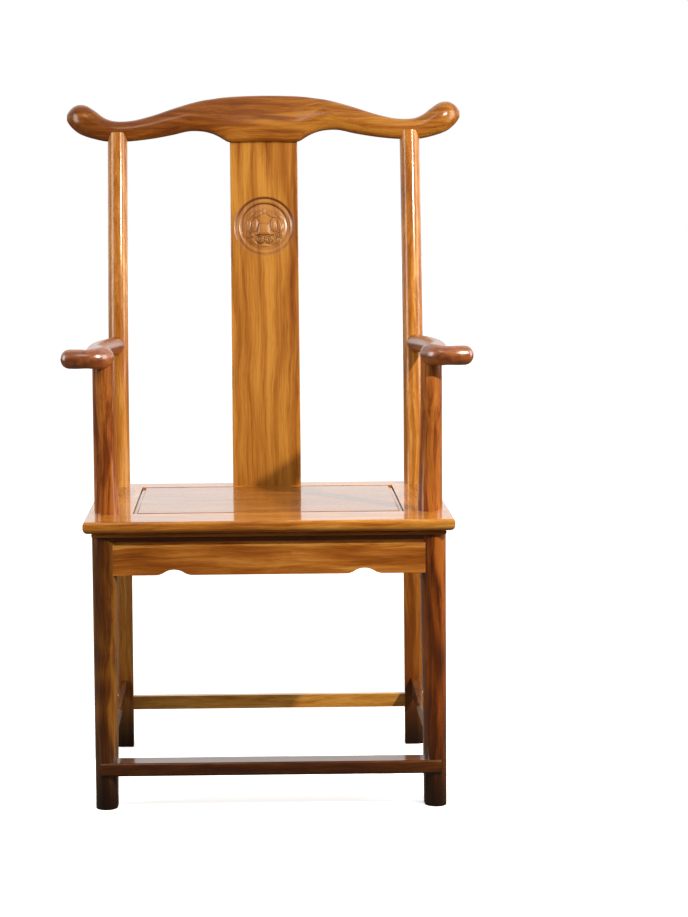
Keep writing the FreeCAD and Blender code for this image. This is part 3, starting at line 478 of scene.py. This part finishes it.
bpy.ops.object.select_all(action="DESELECT")
bpy.ops.mesh.primitive_plane_add(size=60)
floor = bpy.context.object
floor.name = "paleFloor"
painted = bpy.data.materials.new("mattWhiteBoard")
painted.use_nodes = True
floorShader = painted.node_tree.nodes["Principled BSDF"]
seen = addNode(painted.node_tree, "LightPath", {}, {}).outputs["Is Camera Ray"]
boardTone = addNode(painted.node_tree, "Mix", {"A": (0.14, 0.11, 0.08, 1), "B": (1, 1, 1, 1)},
                    {"Factor": seen}, data_type="RGBA").outputs["Result"]
painted.node_tree.links.new(boardTone, floorShader.inputs["Base Color"])
lift = addNode(painted.node_tree, "Math", {1: 0.6}, {0: seen},
               operation="MULTIPLY").outputs["Value"]
painted.node_tree.links.new(lift, floorShader.inputs["Emission Strength"])
floorShader.inputs["Emission Color"].default_value = (1, 1, 1, 1)
floorShader.inputs["Roughness"].default_value = 0.8
floorShader.inputs["Specular IOR Level"].default_value = 0.1
floor.data.materials.append(painted)
print("camera, lamps and floor set")


# Crest rail: a pillowed head rest in the middle, dipping over the posts, with rounded ends turned up

crestRail = {
    "halfSpan": 0.356, "topHeight": 1.176, "height": 0.083, "depth": 0.042, "postY": crestHigh.y - 0.037,
    "bow": 0.016, "corners": 48, "rings": 76, "crowding": 1.35, "fullest": 0.998, "tipSlack": 0.0001,
    # Place along the half span, rise, height, depth, setback, and how much of a head rest it is
    "stationShares": (
        (0.0, 0.0, 1.0, 1.0, 1.0, 1.0), (0.084, -0.002, 0.994, 1.0, 0.98, 1.0),
        (0.163, -0.014, 0.99, 0.99, 0.93, 1.0), (0.188, -0.006, 0.958, 0.97, 0.9, 0.96),
        (0.219, 0.03, 0.866, 0.94, 0.86, 0.88), (0.258, 0.058, 0.762, 0.9, 0.8, 0.76),
        (0.309, 0.07, 0.677, 0.86, 0.72, 0.6), (0.379, 0.037, 0.598, 0.81, 0.57, 0.42),
        (0.463, -0.057, 0.567, 0.76, 0.38, 0.25), (0.562, -0.165, 0.5, 0.73, 0.18, 0.1),
        (0.66, -0.24, 0.445, 0.71, 0.04, 0.0), (0.744, -0.255, 0.445, 0.71, 0.0, 0.0),
        (0.801, -0.213, 0.5, 0.81, 0.04, 0.0), (0.848, -0.118, 0.604, 0.95, 0.12, 0.0),
        (0.893, -0.03, 0.671, 1.07, 0.24, 0.0), (0.933, 0.018, 0.622, 1.02, 0.36, 0.0),
        (0.963, 0.043, 0.476, 0.79, 0.46, 0.0), (0.984, 0.05, 0.29, 0.48, 0.52, 0.0),
        (0.995, 0.052, 0.13, 0.22, 0.55, 0.0)),
    # Head rest's section, from the underside forwards: lip, sloping face, round back
    "restShares": ((0.05, -1.0), (-0.62, -0.97), (-0.9, -0.78), (-0.95, -0.42), (-0.84, -0.02), (-0.36, 0.6),
                   (0.02, 0.94), (0.45, 1.0), (0.86, 0.8), (1.0, 0.2), (0.98, -0.45), (0.72, -0.9)),
}


def crestOutline(station):
    along, rise, height, depth, setback, rest = station
    middle = Vector((along * crestRail["halfSpan"], crestRail["postY"] + setback * crestRail["bow"],
                     crestRail["topHeight"] - crestRail["height"] / 2 + rise * crestRail["height"]))
    shares = crestRail["restShares"]
    looped = shares[-2:] + shares + shares[:3]
    outline = []
    for index in range(crestRail["corners"]):
        turn = index / crestRail["corners"]
        restY, restZ = (max(-crestRail["fullest"], min(crestRail["fullest"], share))
                        for share in flowing(looped, 2 + turn * len(shares)))
        y = rest * restY - (1 - rest) * math.sin(2 * math.pi * turn)
        z = rest * restZ - (1 - rest) * math.cos(2 * math.pi * turn)
        outline.append(middle + Vector((0, y * depth * crestRail["depth"] / 2,
                                        z * height * crestRail["height"] / 2)))
    return outline


# Half the rail is drawn from the middle outwards, its rings crowding towards the rounded tip, then mirrored
lastShare = crestRail["stationShares"][-1][0]
crestShares = [lastShare * (1 - (1 - ring / crestRail["rings"]) ** crestRail["crowding"])
               for ring in range(crestRail["rings"] + 1)]
crest = drawThrough("crestRail", [crestOutline(flowAt(crestRail["stationShares"], share))
                                  for share in crestShares])
editAll(crest)
bpy.ops.mesh.select_all(action="DESELECT")
tipRing = bmesh.from_edit_mesh(crest.data)
for point in tipRing.verts:
    point.select = point.co.x > crestRail["halfSpan"] * (lastShare - crestRail["tipSlack"])
bpy.ops.mesh.select_mode(type="VERT")
bpy.ops.mesh.edge_face_add()
bpy.ops.mesh.poke()
leaveEdit()
applyModifier(crest, "MIRROR", use_clip=True, merge_threshold=crestRail["tipSlack"])
closeShape(crest)
print("crest rail drawn:", len(crest.data.polygons), "faces")


# Back posts: straight out of the seat, bent back, then straight into the crest rail

# Its top is the solid's, less the upper part of its tenon
backPost = {"radius": 0.01775, "tilt": 0.002, "straight": 0.11, "bendRadius": 1.65, "lean": 10.6,
            "corners": 56, "bendSteps": 24, "topHeight": postHigh.z - 0.011, "legEase": 0.0012}
backY = 0.1691


def backPostY(height):
    above = height - seatTop - backPost["straight"]
    lean, bent = math.radians(backPost["lean"]), backPost["bendRadius"]
    if above <= 0:
        return backY
    if above <= bent * math.sin(lean):
        return backY + bent - math.sqrt(bent ** 2 - above ** 2)
    return backY + bent * (1 - math.cos(lean)) + (above - bent * math.sin(lean)) * math.tan(lean)


def cutAway(piece, tool):
    # Ends are scribed over the round faces that they meet, as the joiner does
    applyModifier(piece, "BOOLEAN", operation="DIFFERENCE", object=tool, solver="EXACT")


kneeZ = seatTop + backPost["straight"]
lean = math.radians(backPost["lean"])
upperPost = startRing("backPostRight", (legX, backY, seatUnder), (0, 0, 1), backPost["radius"],
                      backPost["corners"])
bpy.ops.mesh.edge_face_add()
drawOut((0, 0, kneeZ - seatUnder))
drawRound((legX, backY + backPost["bendRadius"], kneeZ), (1, 0, 0), -lean, backPost["bendSteps"])
bendTop = kneeZ + backPost["bendRadius"] * math.sin(lean)
rise = backPost["topHeight"] - bendTop
drawOut((0, rise * math.tan(lean), rise))
bpy.ops.mesh.edge_face_add()
leaveEdit()
for point in upperPost.data.vertices:  # the pair leans in by a hair towards the crest rail
    point.co.x -= backPost["tilt"] * max(0, point.co.z - seatTop) / (backPost["topHeight"] - seatTop)
closeShape(upperPost)
cutAway(upperPost, crest)
print("back post drawn:", len(upperPost.data.polygons), "faces")


# Arms: a round bar bowed out from the back post, full at the elbow, its front end curled outwards as a grip

armRail = {"height": 0.735, "bow": 0.024, "curlRadius": 0.028, "handLength": 0.0243, "handArc": 0.075,
           "legInset": 0.035, "neckSetback": 0.07, "neckShift": 0.004, "neckReach": 0.013, "corners": 56,
           "steps": (48, 28, 10, 12), "tipLength": 0.0145, "tipShare": 0.985, "tipFullness": 0.9,
           # Share of the length, height of the axis, radius
           "profile": ((0.0, 0.7322, 0.0155), (0.4, 0.7338, 0.016), (0.72, 0.7362, 0.0168),
                       (0.84, 0.7374, 0.0183), (0.9, 0.7375, 0.0171), (0.937, 0.7374, 0.0155),
                       (0.968, 0.7374, 0.0159), (1.0, 0.7374, 0.0159))}
neckY = seatFront + armRail["legInset"] + armRail["neckSetback"]
armStart = Vector((legX, backPostY(armRail["height"]), 0))
armElbow = Vector((legX + armRail["neckShift"], neckY - armRail["neckReach"], 0))
armRun = armElbow - armStart
forward = armRun.normalized()
outward = Vector((-forward.y, forward.x, 0))
halfTurn = 2 * math.atan(2 * armRail["bow"] / armRun.length)
bowRadius = armRun.length / 2 / math.sin(halfTurn)
bowMiddle = (armStart + armElbow) / 2 - outward * bowRadius * math.cos(halfTurn)
curlHeading = forward * math.cos(halfTurn) - outward * math.sin(halfTurn)
curlSide = Vector((-curlHeading.y, curlHeading.x, 0))
curlTurn = math.acos(curlHeading.x)
curlMiddle = armElbow + curlSide * armRail["curlRadius"]
bowSteps, curlSteps, handSteps, tipSteps = armRail["steps"]
armPath = []
for step in range(bowSteps):
    swing = Matrix.Rotation(halfTurn * (1 - 2 * step / bowSteps), 3, "Z")
    armPath.append((bowMiddle + swing @ outward * bowRadius, swing @ forward))
for step in range(curlSteps):
    swing = Matrix.Rotation(curlTurn * step / curlSteps, 3, "Z")
    armPath.append((curlMiddle - swing @ curlSide * armRail["curlRadius"], swing @ curlHeading))
handMiddle = curlMiddle + Vector((0, armRail["handArc"] - armRail["curlRadius"], 0))
for step in range(handSteps + 1):
    turn = armRail["handLength"] / armRail["handArc"] * step / handSteps
    heading = Vector((math.cos(turn), math.sin(turn), 0))
    armPath.append((handMiddle + Vector((heading.y, -heading.x, 0)) * armRail["handArc"], heading))
lengths = [0]
for (near, _), (far, _) in zip(armPath, armPath[1:]):
    lengths.append(lengths[-1] + (far - near).length)
armOutlines = []
for (place, heading), length in zip(armPath, lengths):
    _, height, radius = flowAt(armRail["profile"], length / lengths[-1])
    armOutlines.append(roundOutline(Vector((place.x, place.y, height)), heading, Vector((0, 0, 1)), radius,
                                    armRail["corners"]))
for step in range(1, tipSteps + 1):  # the hand end closes in a full round
    turn = math.pi / 2 * step / tipSteps * armRail["tipShare"]
    middle = Vector((place.x, place.y, height)) + heading * armRail["tipLength"] * math.sin(turn)
    armOutlines.append(roundOutline(middle, heading, Vector((0, 0, 1)),
                                    radius * math.cos(turn) ** armRail["tipFullness"], armRail["corners"]))
arm = drawThrough("armRailRight", armOutlines)
capEnds(arm)
closeShape(arm)
cutAway(arm, upperPost)
print("arm drawn:", len(arm.data.polygons), "faces")


# Gooseneck posts under the arms: stout on the seat, an ogee forwards, slimmer under the arm

gooseneck = {"topHeight": 0.7292, "outerEdge": (0.2877, 0.2859), "steps": 40, "corners": 56,
             "profile": ((0.0, 0.0204), (0.1, 0.0199), (0.28, 0.0187), (0.55, 0.0178), (1.0, 0.0173))}
neckOutlines = []
for step in range(gooseneck["steps"] + 1):
    share = step / gooseneck["steps"]
    _, radius = flowAt(gooseneck["profile"], share)
    nearEdge, farEdge = gooseneck["outerEdge"]
    ogee = (1 - math.cos(math.pi * share)) / 2
    climb = gooseneck["topHeight"] - seatTop
    middle = Vector((nearEdge + (farEdge - nearEdge) * share - radius, neckY - armRail["neckReach"] * ogee,
                     seatTop + climb * share))
    heading = Vector((0, -armRail["neckReach"] * math.pi / 2 * math.sin(math.pi * share), climb)).normalized()
    neckOutlines.append(roundOutline(middle, heading, Vector((1, 0, 0)), radius, gooseneck["corners"]))
neck = drawThrough("gooseneckRight", neckOutlines)
capEnds(neck)
closeShape(neck)
cutAway(neck, arm)
print("gooseneck drawn:", len(neck.data.polygons), "faces")


# Pieces with the right shape in the solids: a copy is merged, its arrises eased and its faces smoothed

def mergedCopy(node, name, keepBelow=None):
    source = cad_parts[node]
    piece = source.copy()
    piece.data = source.data.copy()
    piece.name = name
    piece.parent = None
    bpy.context.collection.objects.link(piece)
    editAll(piece)
    bpy.ops.mesh.remove_doubles(threshold=copyReach)
    if keepBelow:
        bpy.ops.mesh.select_all(action="SELECT")
        bpy.ops.mesh.bisect(plane_co=(0, 0, keepBelow), plane_no=(0, 0, 1), use_fill=True, clear_outer=True)
    bpy.ops.mesh.select_all(action="SELECT")
    bpy.ops.mesh.dissolve_limited(angle_limit=flatAngle)
    leaveEdit()
    return piece


def easeArrises(piece, ease):
    applyModifier(piece, "BEVEL", width=ease, segments=2, limit_method="ANGLE", angle_limit=arrisAngle,
                  use_clamp_overlap=True)


plainPieces = (
    ("seat_frame_front", "seatFrameFront", 0.0005, "frame_wood", "frameRosewood"),
    ("seat_frame_rear", "seatFrameRear", 0.0005, "frame_wood", "frameRosewood"),
    ("seat_frame_left", "seatFrameLeft", 0.0005, "frame_wood", "sideFrameRosewood"),
    ("seat_frame_right", "seatFrameRight", 0.0005, "frame_wood", "sideFrameRosewood"),
    ("seat_batten_left", "seatBattenLeft", 0.001, "underside_wood", "sideStretcherRosewood"),
    ("seat_batten_right", "seatBattenRight", 0.001, "underside_wood", "sideStretcherRosewood"),
    ("apron_front", "apronFront", 0.001, "rail_wood", "apronRosewood"),
    ("apron_rear", "apronRear", 0.001, "rail_wood", "apronRosewood"),
    ("apron_left", "apronLeft", 0.001, "rail_wood", "sideApronRosewood"),
    ("apron_right", "apronRight", 0.001, "rail_wood", "sideApronRosewood"),
    ("stretcher_front", "footrest", 0.0015, "rail_wood", "stretcherRosewood"),
    ("stretcher_rear", "stretcherRear", 0.0012, "rail_wood", "rearRailRosewood"),
    ("stretcher_left", "stretcherLeft", 0.0012, "rail_wood", "sideStretcherRosewood"),
    ("stretcher_right", "stretcherRight", 0.0012, "rail_wood", "sideStretcherRosewood"),
    ("front_leg_left", "frontLegLeft", 0.0012, "post_wood", "shadedLeftLegRosewood"),
    ("front_leg_right", "frontLegRight", 0.0012, "post_wood", "legRosewood"),
)
# The frame's moulding is a full bead: its solid's small top round and long lower curve are filled out
bead = {"topRound": 0.0015, "fullTop": 0.005, "lowStart": 0.4678, "fullStart": 0.4675, "underside": 0.4585,
        "lowRun": 0.0119, "fullRun": 0.0088, "topSlack": 0.00002, "lowSlack": 0.00005, "sideSlack": 0.0007}
seatHalfWidth = 0.3
beadSides = ((0, seatHalfWidth, 1), (0, seatHalfWidth, -1), (1, -seatFront, -1),
             (1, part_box("seat_frame_rear")[1].y, 1))


def quarterTurn(share):
    return math.asin(min(1.0, max(0.0, share)))


def fillBead(piece):
    for point in piece.data.vertices:
        z = point.co.z
        if z > seatTop - bead["topRound"] - bead["topSlack"]:
            turn = quarterTurn((z - seatTop + bead["topRound"]) / bead["topRound"])
            run, newRun = (reach * (1 - math.cos(turn)) for reach in (bead["topRound"], bead["fullTop"]))
            newZ = seatTop - bead["fullTop"] * (1 - math.sin(turn))
        elif bead["underside"] - bead["lowSlack"] < z < bead["lowStart"] + bead["lowSlack"]:
            turn = quarterTurn((bead["lowStart"] - z) / (bead["lowStart"] - bead["underside"]))
            run, newRun = (reach * (1 - math.cos(turn)) for reach in (bead["lowRun"], bead["fullRun"]))
            newZ = bead["fullStart"] - (bead["fullStart"] - bead["underside"]) * math.sin(turn)
        else:
            continue
        moved = False
        for axis, reach, sign in beadSides:
            inside = reach - sign * point.co[axis]
            if abs(inside - run) < bead["sideSlack"]:
                point.co[axis] = sign * (reach - newRun)
                moved = True
        if moved:
            point.co.z = newZ


# The rail in front of the panel is the broad one: how far back the opening's front and rear edges go
opening = {"halfWidth": 0.24, "edges": ((-0.1999, 0.018), (panelHigh.y - 0.008, 0.022)), "reach": 0.0116}


def moveOpening(piece):
    for point in piece.data.vertices:
        for edge, back in opening["edges"]:
            if abs(point.co.x) < opening["halfWidth"] and abs(point.co.y - edge) < opening["reach"]:
                point.co.y += back
                break


# Front legs: square sticks a touch stouter under the seat than at the foot, their outer faces upright
# Each pair holds at the foot and under the seat: the solid's axis, the shift outwards, the share of the width
legTaper = {"axis": (0.2675, 0.265), "shift": (0.003, 0.002), "width": (0.923, 1.05)}


def taperLeg(piece):
    for point in piece.data.vertices:
        share = point.co.z / seatUnder
        side = 1 if point.co.x > 0 else -1
        axisX, shift, wide = (foot + (top - foot) * share for foot, top in legTaper.values())
        point.co.x = side * (axisX + shift + (abs(point.co.x) - axisX) * wide)


# Shoulders follow the tapered legs: how much farther out each rail's ends reach, from near its shoulders on
longerEnds = {"apron_front": 0.0025, "stretcher_front": 0.0045}
shoulderX = 0.24
for node, name, ease, slot, wood in plainPieces:
    piece = mergedCopy(node, name)
    if node.startswith("seat"):
        moveOpening(piece)
    if node.startswith("seat_frame"):
        fillBead(piece)
    if node.startswith("front_leg"):
        taperLeg(piece)
    for point in piece.data.vertices:
        if node in longerEnds and abs(point.co.x) > shoulderX:
            point.co.x += math.copysign(longerEnds[node], point.co.x)
    easeArrises(piece, ease)
    setPiece(piece, [node], woods[wood], flat=True)

# The panel's field stands in a shallow sunk border inside the frame
panelField = {"sunk": 0.0024, "border": 0.0052, "shoulder": 0.0014, "ease": 0.0007, "level": 0.99,
              "slack": 0.0001}
panel = mergedCopy("seat_panel", "seatPanel")
moveOpening(panel)
editAll(panel)
bpy.ops.mesh.select_all(action="DESELECT")
bpy.ops.mesh.select_mode(type="FACE")
for face in bmesh.from_edit_mesh(panel.data).faces:
    onTop = face.calc_center_median().z > seatTop - panelField["slack"]
    face.select = onTop and face.normal.z > panelField["level"]
bpy.ops.transform.translate(value=(0, 0, -panelField["sunk"]))
bpy.ops.mesh.inset(thickness=panelField["border"], depth=0)
bpy.ops.mesh.inset(thickness=panelField["shoulder"], depth=panelField["sunk"])
leaveEdit()
easeArrises(panel, panelField["ease"])
setPiece(panel, ["seat_panel"], woods["panelRosewood"], flat=True)
print("seat, aprons, stretchers and front legs finished")

# The back leg is one stick with the post above: the leg's copy is joined under the drawn post
lowerLeg = mergedCopy("rear_leg_post_right", "rearLegRight", keepBelow=seatUnder)
easeArrises(lowerLeg, backPost["legEase"])
pickOnly(upperPost)
lowerLeg.select_set(True)
bpy.ops.object.join()
upperPost.name = "rearPostRight"
for right, name, node, slot, wood in (
        (upperPost, "rearPostLeft", "rear_leg_post", "post_wood", "postRosewood"),
        (arm, "armRailLeft", "arm_rail", "arm_wood", "armRosewood"),
        (neck, "gooseneckLeft", "gooseneck_post", "post_wood", "neckRosewood")):
    left = mirrorCopy(right, name)
    setPiece(right, [node + "_right"], woods[wood], flat=node == "rear_leg_post")
    setPiece(left, [node + "_left"], woods[wood], flat=node == "rear_leg_post")
print("posts, arms and goosenecks set")


# Back splat: one board bent to an S, standing on the rear rail and housed in the crest rail

splatBoard = {"width": 0.122, "thickness": 0.011, "footY": backY - 0.006, "footAngle": -7.0,
              "waistAngle": 14.5, "headAngle": 7.0, "sunk": 0.004, "edge": 0.0018, "lowSteps": 20,
              "highSteps": 30}
angles = [math.radians(splatBoard[key]) for key in ("footAngle", "waistAngle", "headAngle")]
lowRise, highRise = (math.sin(angles[1]) - math.sin(angles[end]) for end in (0, 2))
lowRun, highRun = (math.cos(angles[end]) - math.cos(angles[1]) for end in (0, 2))
splatRise = crestRail["topHeight"] - crestRail["height"] - seatTop
splatRun = crestRail["postY"] + crestRail["bow"] - splatBoard["footY"]
determinant = lowRise * highRun - highRise * lowRun
lowBend = (splatRise * highRun - highRise * splatRun) / determinant
highBend = (lowRise * splatRun - splatRise * lowRun) / determinant
waistZ = seatTop + lowBend * lowRise
lowCentre = Vector((0, splatBoard["footY"] + lowBend * math.cos(angles[0]),
                    seatTop - lowBend * math.sin(angles[0])))
waistY = lowCentre.y - lowBend * math.cos(angles[1])
highCentre = Vector((0, waistY - highBend * math.cos(angles[1]), waistZ + highBend * math.sin(angles[1])))


def splatAt(height):
    # Middle of the board and its lean at a height
    if height <= waistZ:
        turn = math.asin((height - lowCentre.z) / lowBend)
        return lowCentre.y - lowBend * math.cos(turn), turn
    turn = math.asin((highCentre.z - height) / highBend)
    return highCentre.y + highBend * math.cos(turn), turn


bpy.ops.object.select_all(action="DESELECT")
bpy.ops.mesh.primitive_plane_add(size=1, location=(0, splatBoard["footY"], seatTop),
                                 rotation=(-angles[0], 0, 0))
splat = bpy.context.object
splat.name = "backSplat"
splat.scale = (splatBoard["width"], splatBoard["thickness"], 1)
bpy.ops.object.transform_apply(location=True, rotation=True, scale=True)
editAll(splat)
upward = Vector((0, math.sin(angles[0]), math.cos(angles[0])))
bpy.ops.transform.translate(value=-upward * splatBoard["sunk"])
drawOut(upward * splatBoard["sunk"])
drawRound(lowCentre, (1, 0, 0), angles[0] - angles[1], splatBoard["lowSteps"])
drawRound(highCentre, (1, 0, 0), angles[1] - angles[2], splatBoard["highSteps"])
drawOut(Vector((0, math.sin(angles[2]), math.cos(angles[2]))) * splatBoard["sunk"])
leaveEdit()
closeShape(splat)
applyModifier(splat, "BEVEL", width=splatBoard["edge"], segments=3, limit_method="ANGLE",
              angle_limit=math.radians(60))
print("splat drawn:", len(splat.data.polygons), "faces")


# Roundel carved in the splat: a recess in two steps, its sunk field with a plain block, leaves and scrolls

roundel = {"height": 0.94, "radius": 0.0551, "corners": 440, "rings": 108, "backing": 0.0014, "sunk": 0.0042,
           "fieldShare": 0.75, "hollowShare": 0.74, "hollowReach": 0.0013, "hollowDepth": 0.0005,
           "hollowTone": 0.92, "pocketLength": 0.02, "pocketSlack": 0.0005,
           # Distance from the middle and depth: the field, a step up to a rounded band, a step up to the face
           "profile": ((0.0, -0.0026), (0.3, -0.0026), (0.6, -0.0028), (0.69, -0.0033), (0.735, -0.0041),
                       (0.757, -0.0042), (0.776, -0.0026), (0.8, -0.0018), (0.845, -0.0013),
                       (0.885, -0.0017), (0.912, -0.0026), (0.925, -0.0028), (0.955, -0.0011),
                       (0.978, -0.0003), (1.0, -0.00003)),
           "knob": {"centre": (-0.0006, -0.004), "half": (0.0092, 0.0085), "rise": 0.003, "skirt": 1.2,
                    "slope": 0.42},
           "vein": {"place": 0.25, "depth": 0.0005, "width": 0.0006},
           # Sideways and upwards from the middle, half width, half height, tilt, rise; each pair is mirrored
           "leaves": ((0.0172, 0.0034, 0.006, 0.0126, -5, 0.0026),
                      (0.0293, 0.0016, 0.0052, 0.0112, -14, 0.0016),
                      (0.0125, 0.0225, 0.0042, 0.0098, -62, 0.0014),
                      (0.0262, 0.0205, 0.0038, 0.0086, -44, 0.0011),
                      (0.0205, -0.0262, 0.0038, 0.0092, 48, 0.0015),
                      (0.0, -0.0335, 0.0072, 0.003, 0, 0.0014),
                      (0.0, 0.0285, 0.0032, 0.005, 0, 0.0013)),
           # Sideways and upwards from the middle, radius, rise
           "scrolls": ((0.0079, -0.0226, 0.0064, 0.0019), (0.0272, -0.0146, 0.0056, 0.0015)),
           "scrollReach": 1.25, "scrollTurns": 1.9, "scrollFade": 0.0012,
           # Half length, height, half thickness and depth of the cut bar
           "bar": (0.0165, -0.0152, 0.0011, 0.0014)}
roundelY, roundelLean = splatAt(roundel["height"])
roundelNormal = Vector((0, -math.cos(roundelLean), math.sin(roundelLean)))
roundelUp = Vector((0, math.sin(roundelLean), math.cos(roundelLean)))
roundelFace = Vector((0, roundelY, roundel["height"])) + roundelNormal * splatBoard["thickness"] / 2


def swell(distance, width):
    # Rounded shoulder: 1 in the middle, 0 at the width and beyond
    reach = min(1.0, abs(distance) / width)
    return math.sqrt(max(0.0, 1 - reach ** 2.4))


def carvedDepth(u, v):
    distance = math.hypot(u, v) / roundel["radius"]
    _, ground = flowAt(roundel["profile"], min(distance, 1.0))
    if distance > roundel["fieldShare"]:
        return min(ground, 0)
    depth = ground
    knob, vein = roundel["knob"], roundel["vein"]
    edge = max(abs(u - knob["centre"][0]) / knob["half"][0], abs(v - knob["centre"][1]) / knob["half"][1])
    if edge < knob["skirt"]:
        block = max(0.0, min(1.0, (knob["skirt"] - edge) / knob["slope"])) * (0.8 + 0.2 * max(0.0, 1 - edge))
        depth = max(depth, ground + knob["rise"] * block)
    for leafU, leafV, halfWide, halfHigh, tilt, rise in roundel["leaves"]:
        turn = math.radians(tilt)
        du, dv = abs(u) - leafU, v - leafV
        if not leafU:
            du = u
        across, along = du * math.cos(turn) - dv * math.sin(turn), du * math.sin(turn) + dv * math.cos(turn)
        reach = math.hypot(across / halfWide, along / halfHigh)
        if reach < 1:
            groove = vein["depth"] * math.exp(-((across - vein["place"] * halfWide) / vein["width"]) ** 2)
            depth = max(depth, ground + rise * swell(reach, 1) - groove)
    for scrollU, scrollV, radius, rise in roundel["scrolls"]:
        du, dv = abs(u) - scrollU, v - scrollV
        reach, end = math.hypot(du, dv), radius * roundel["scrollReach"]
        if reach < end:
            around = (math.atan2(dv, du) / (2 * math.pi)) % 1
            pitch = radius / roundel["scrollTurns"]
            nearest = ((reach / pitch - around) % 1 - 0.5) * pitch
            ridge = swell(nearest, pitch * 0.45) * min(1, (end - reach) / roundel["scrollFade"])
            depth = max(depth, ground + rise * ridge)
    barHalf, barV, barThick, barDepth = roundel["bar"]
    if abs(u) < barHalf and abs(v - barV) < barThick:
        depth -= barDepth * swell(v - barV, barThick)
    return depth


carving = startRing("splatRoundel", roundelFace, roundelNormal, roundel["radius"], roundel["corners"])
for ring in range(1, roundel["rings"]):
    size = 1 - ring / roundel["rings"]
    bpy.ops.mesh.extrude_region_move()
    bpy.ops.transform.resize(value=(size / (size + 1 / roundel["rings"]),) * 3, center_override=roundelFace)
bpy.ops.mesh.edge_face_add()
bpy.ops.mesh.poke()
leaveEdit()
for point in carving.data.vertices:
    offset = point.co - roundelFace
    u, v = offset.x, offset.dot(roundelUp)
    bulge = v * v / 2 / highBend  # the board's own slow curve
    point.co += roundelNormal * (bulge + carvedDepth(u, v))
editAll(carving)
bpy.ops.mesh.select_all(action="DESELECT")
bpy.ops.mesh.select_non_manifold()
drawOut(-roundelNormal * (roundel["sunk"] + roundel["backing"]))
bpy.ops.mesh.edge_face_add()
leaveEdit()
closeShape(carving)

# How hollow the field is at each point, against the carving round it, for the finish to darken with painted
# shade
hollows = carving.data.attributes.new("hollow", "FLOAT", "POINT")
compass = [(math.cos(math.pi / 3 * step), math.sin(math.pi / 3 * step)) for step in range(6)]
for point, note in zip(carving.data.vertices, hollows.data):
    offset = point.co - roundelFace
    u, v = offset.x, offset.dot(roundelUp)
    if math.hypot(u, v) < roundel["radius"] * roundel["hollowShare"]:
        reach = roundel["hollowReach"]
        about = sum(carvedDepth(u + reach * du, v + reach * dv) for du, dv in compass) / len(compass)
        note.value = max(0, min(roundel["hollowTone"], (about - carvedDepth(u, v)) / roundel["hollowDepth"]))

# A shallow pocket in the board takes the carved disc
bpy.ops.object.select_all(action="DESELECT")
pocketDepth = roundel["sunk"] + roundel["backing"] + roundel["pocketSlack"]
pocketMiddle = roundelFace - roundelNormal * (pocketDepth - roundel["pocketLength"] / 2)
bpy.ops.mesh.primitive_cylinder_add(vertices=roundel["corners"] // 2, radius=roundel["radius"],
                                    depth=roundel["pocketLength"], location=pocketMiddle,
                                    rotation=roundelNormal.to_track_quat("Z", "Y").to_euler())
pocket = bpy.context.object
cutAway(splat, pocket)
bpy.data.objects.remove(pocket)
setPiece(splat, ["back_splat"], woods["splatRosewood"], sharpAngle=30, flat=True)
# The carved disc's finish adds painted shade under its walls and in its hollows
carvedTones = dict(splatTones, cut=(roundelFace, roundel["radius"]), coatRoughness=0.3, light="#B8803E",
                   honey="#9E662A", brown="#82481A")
carvedWood = lacqueredRosewood("carvedRosewood", carvedTones)
setPiece(carving, ["back_splat"], carvedWood, sharpAngle=60)
setPiece(crest, ["crest_rail"], woods["crestRosewood"], sharpAngle=50)
print("splat and roundel set")
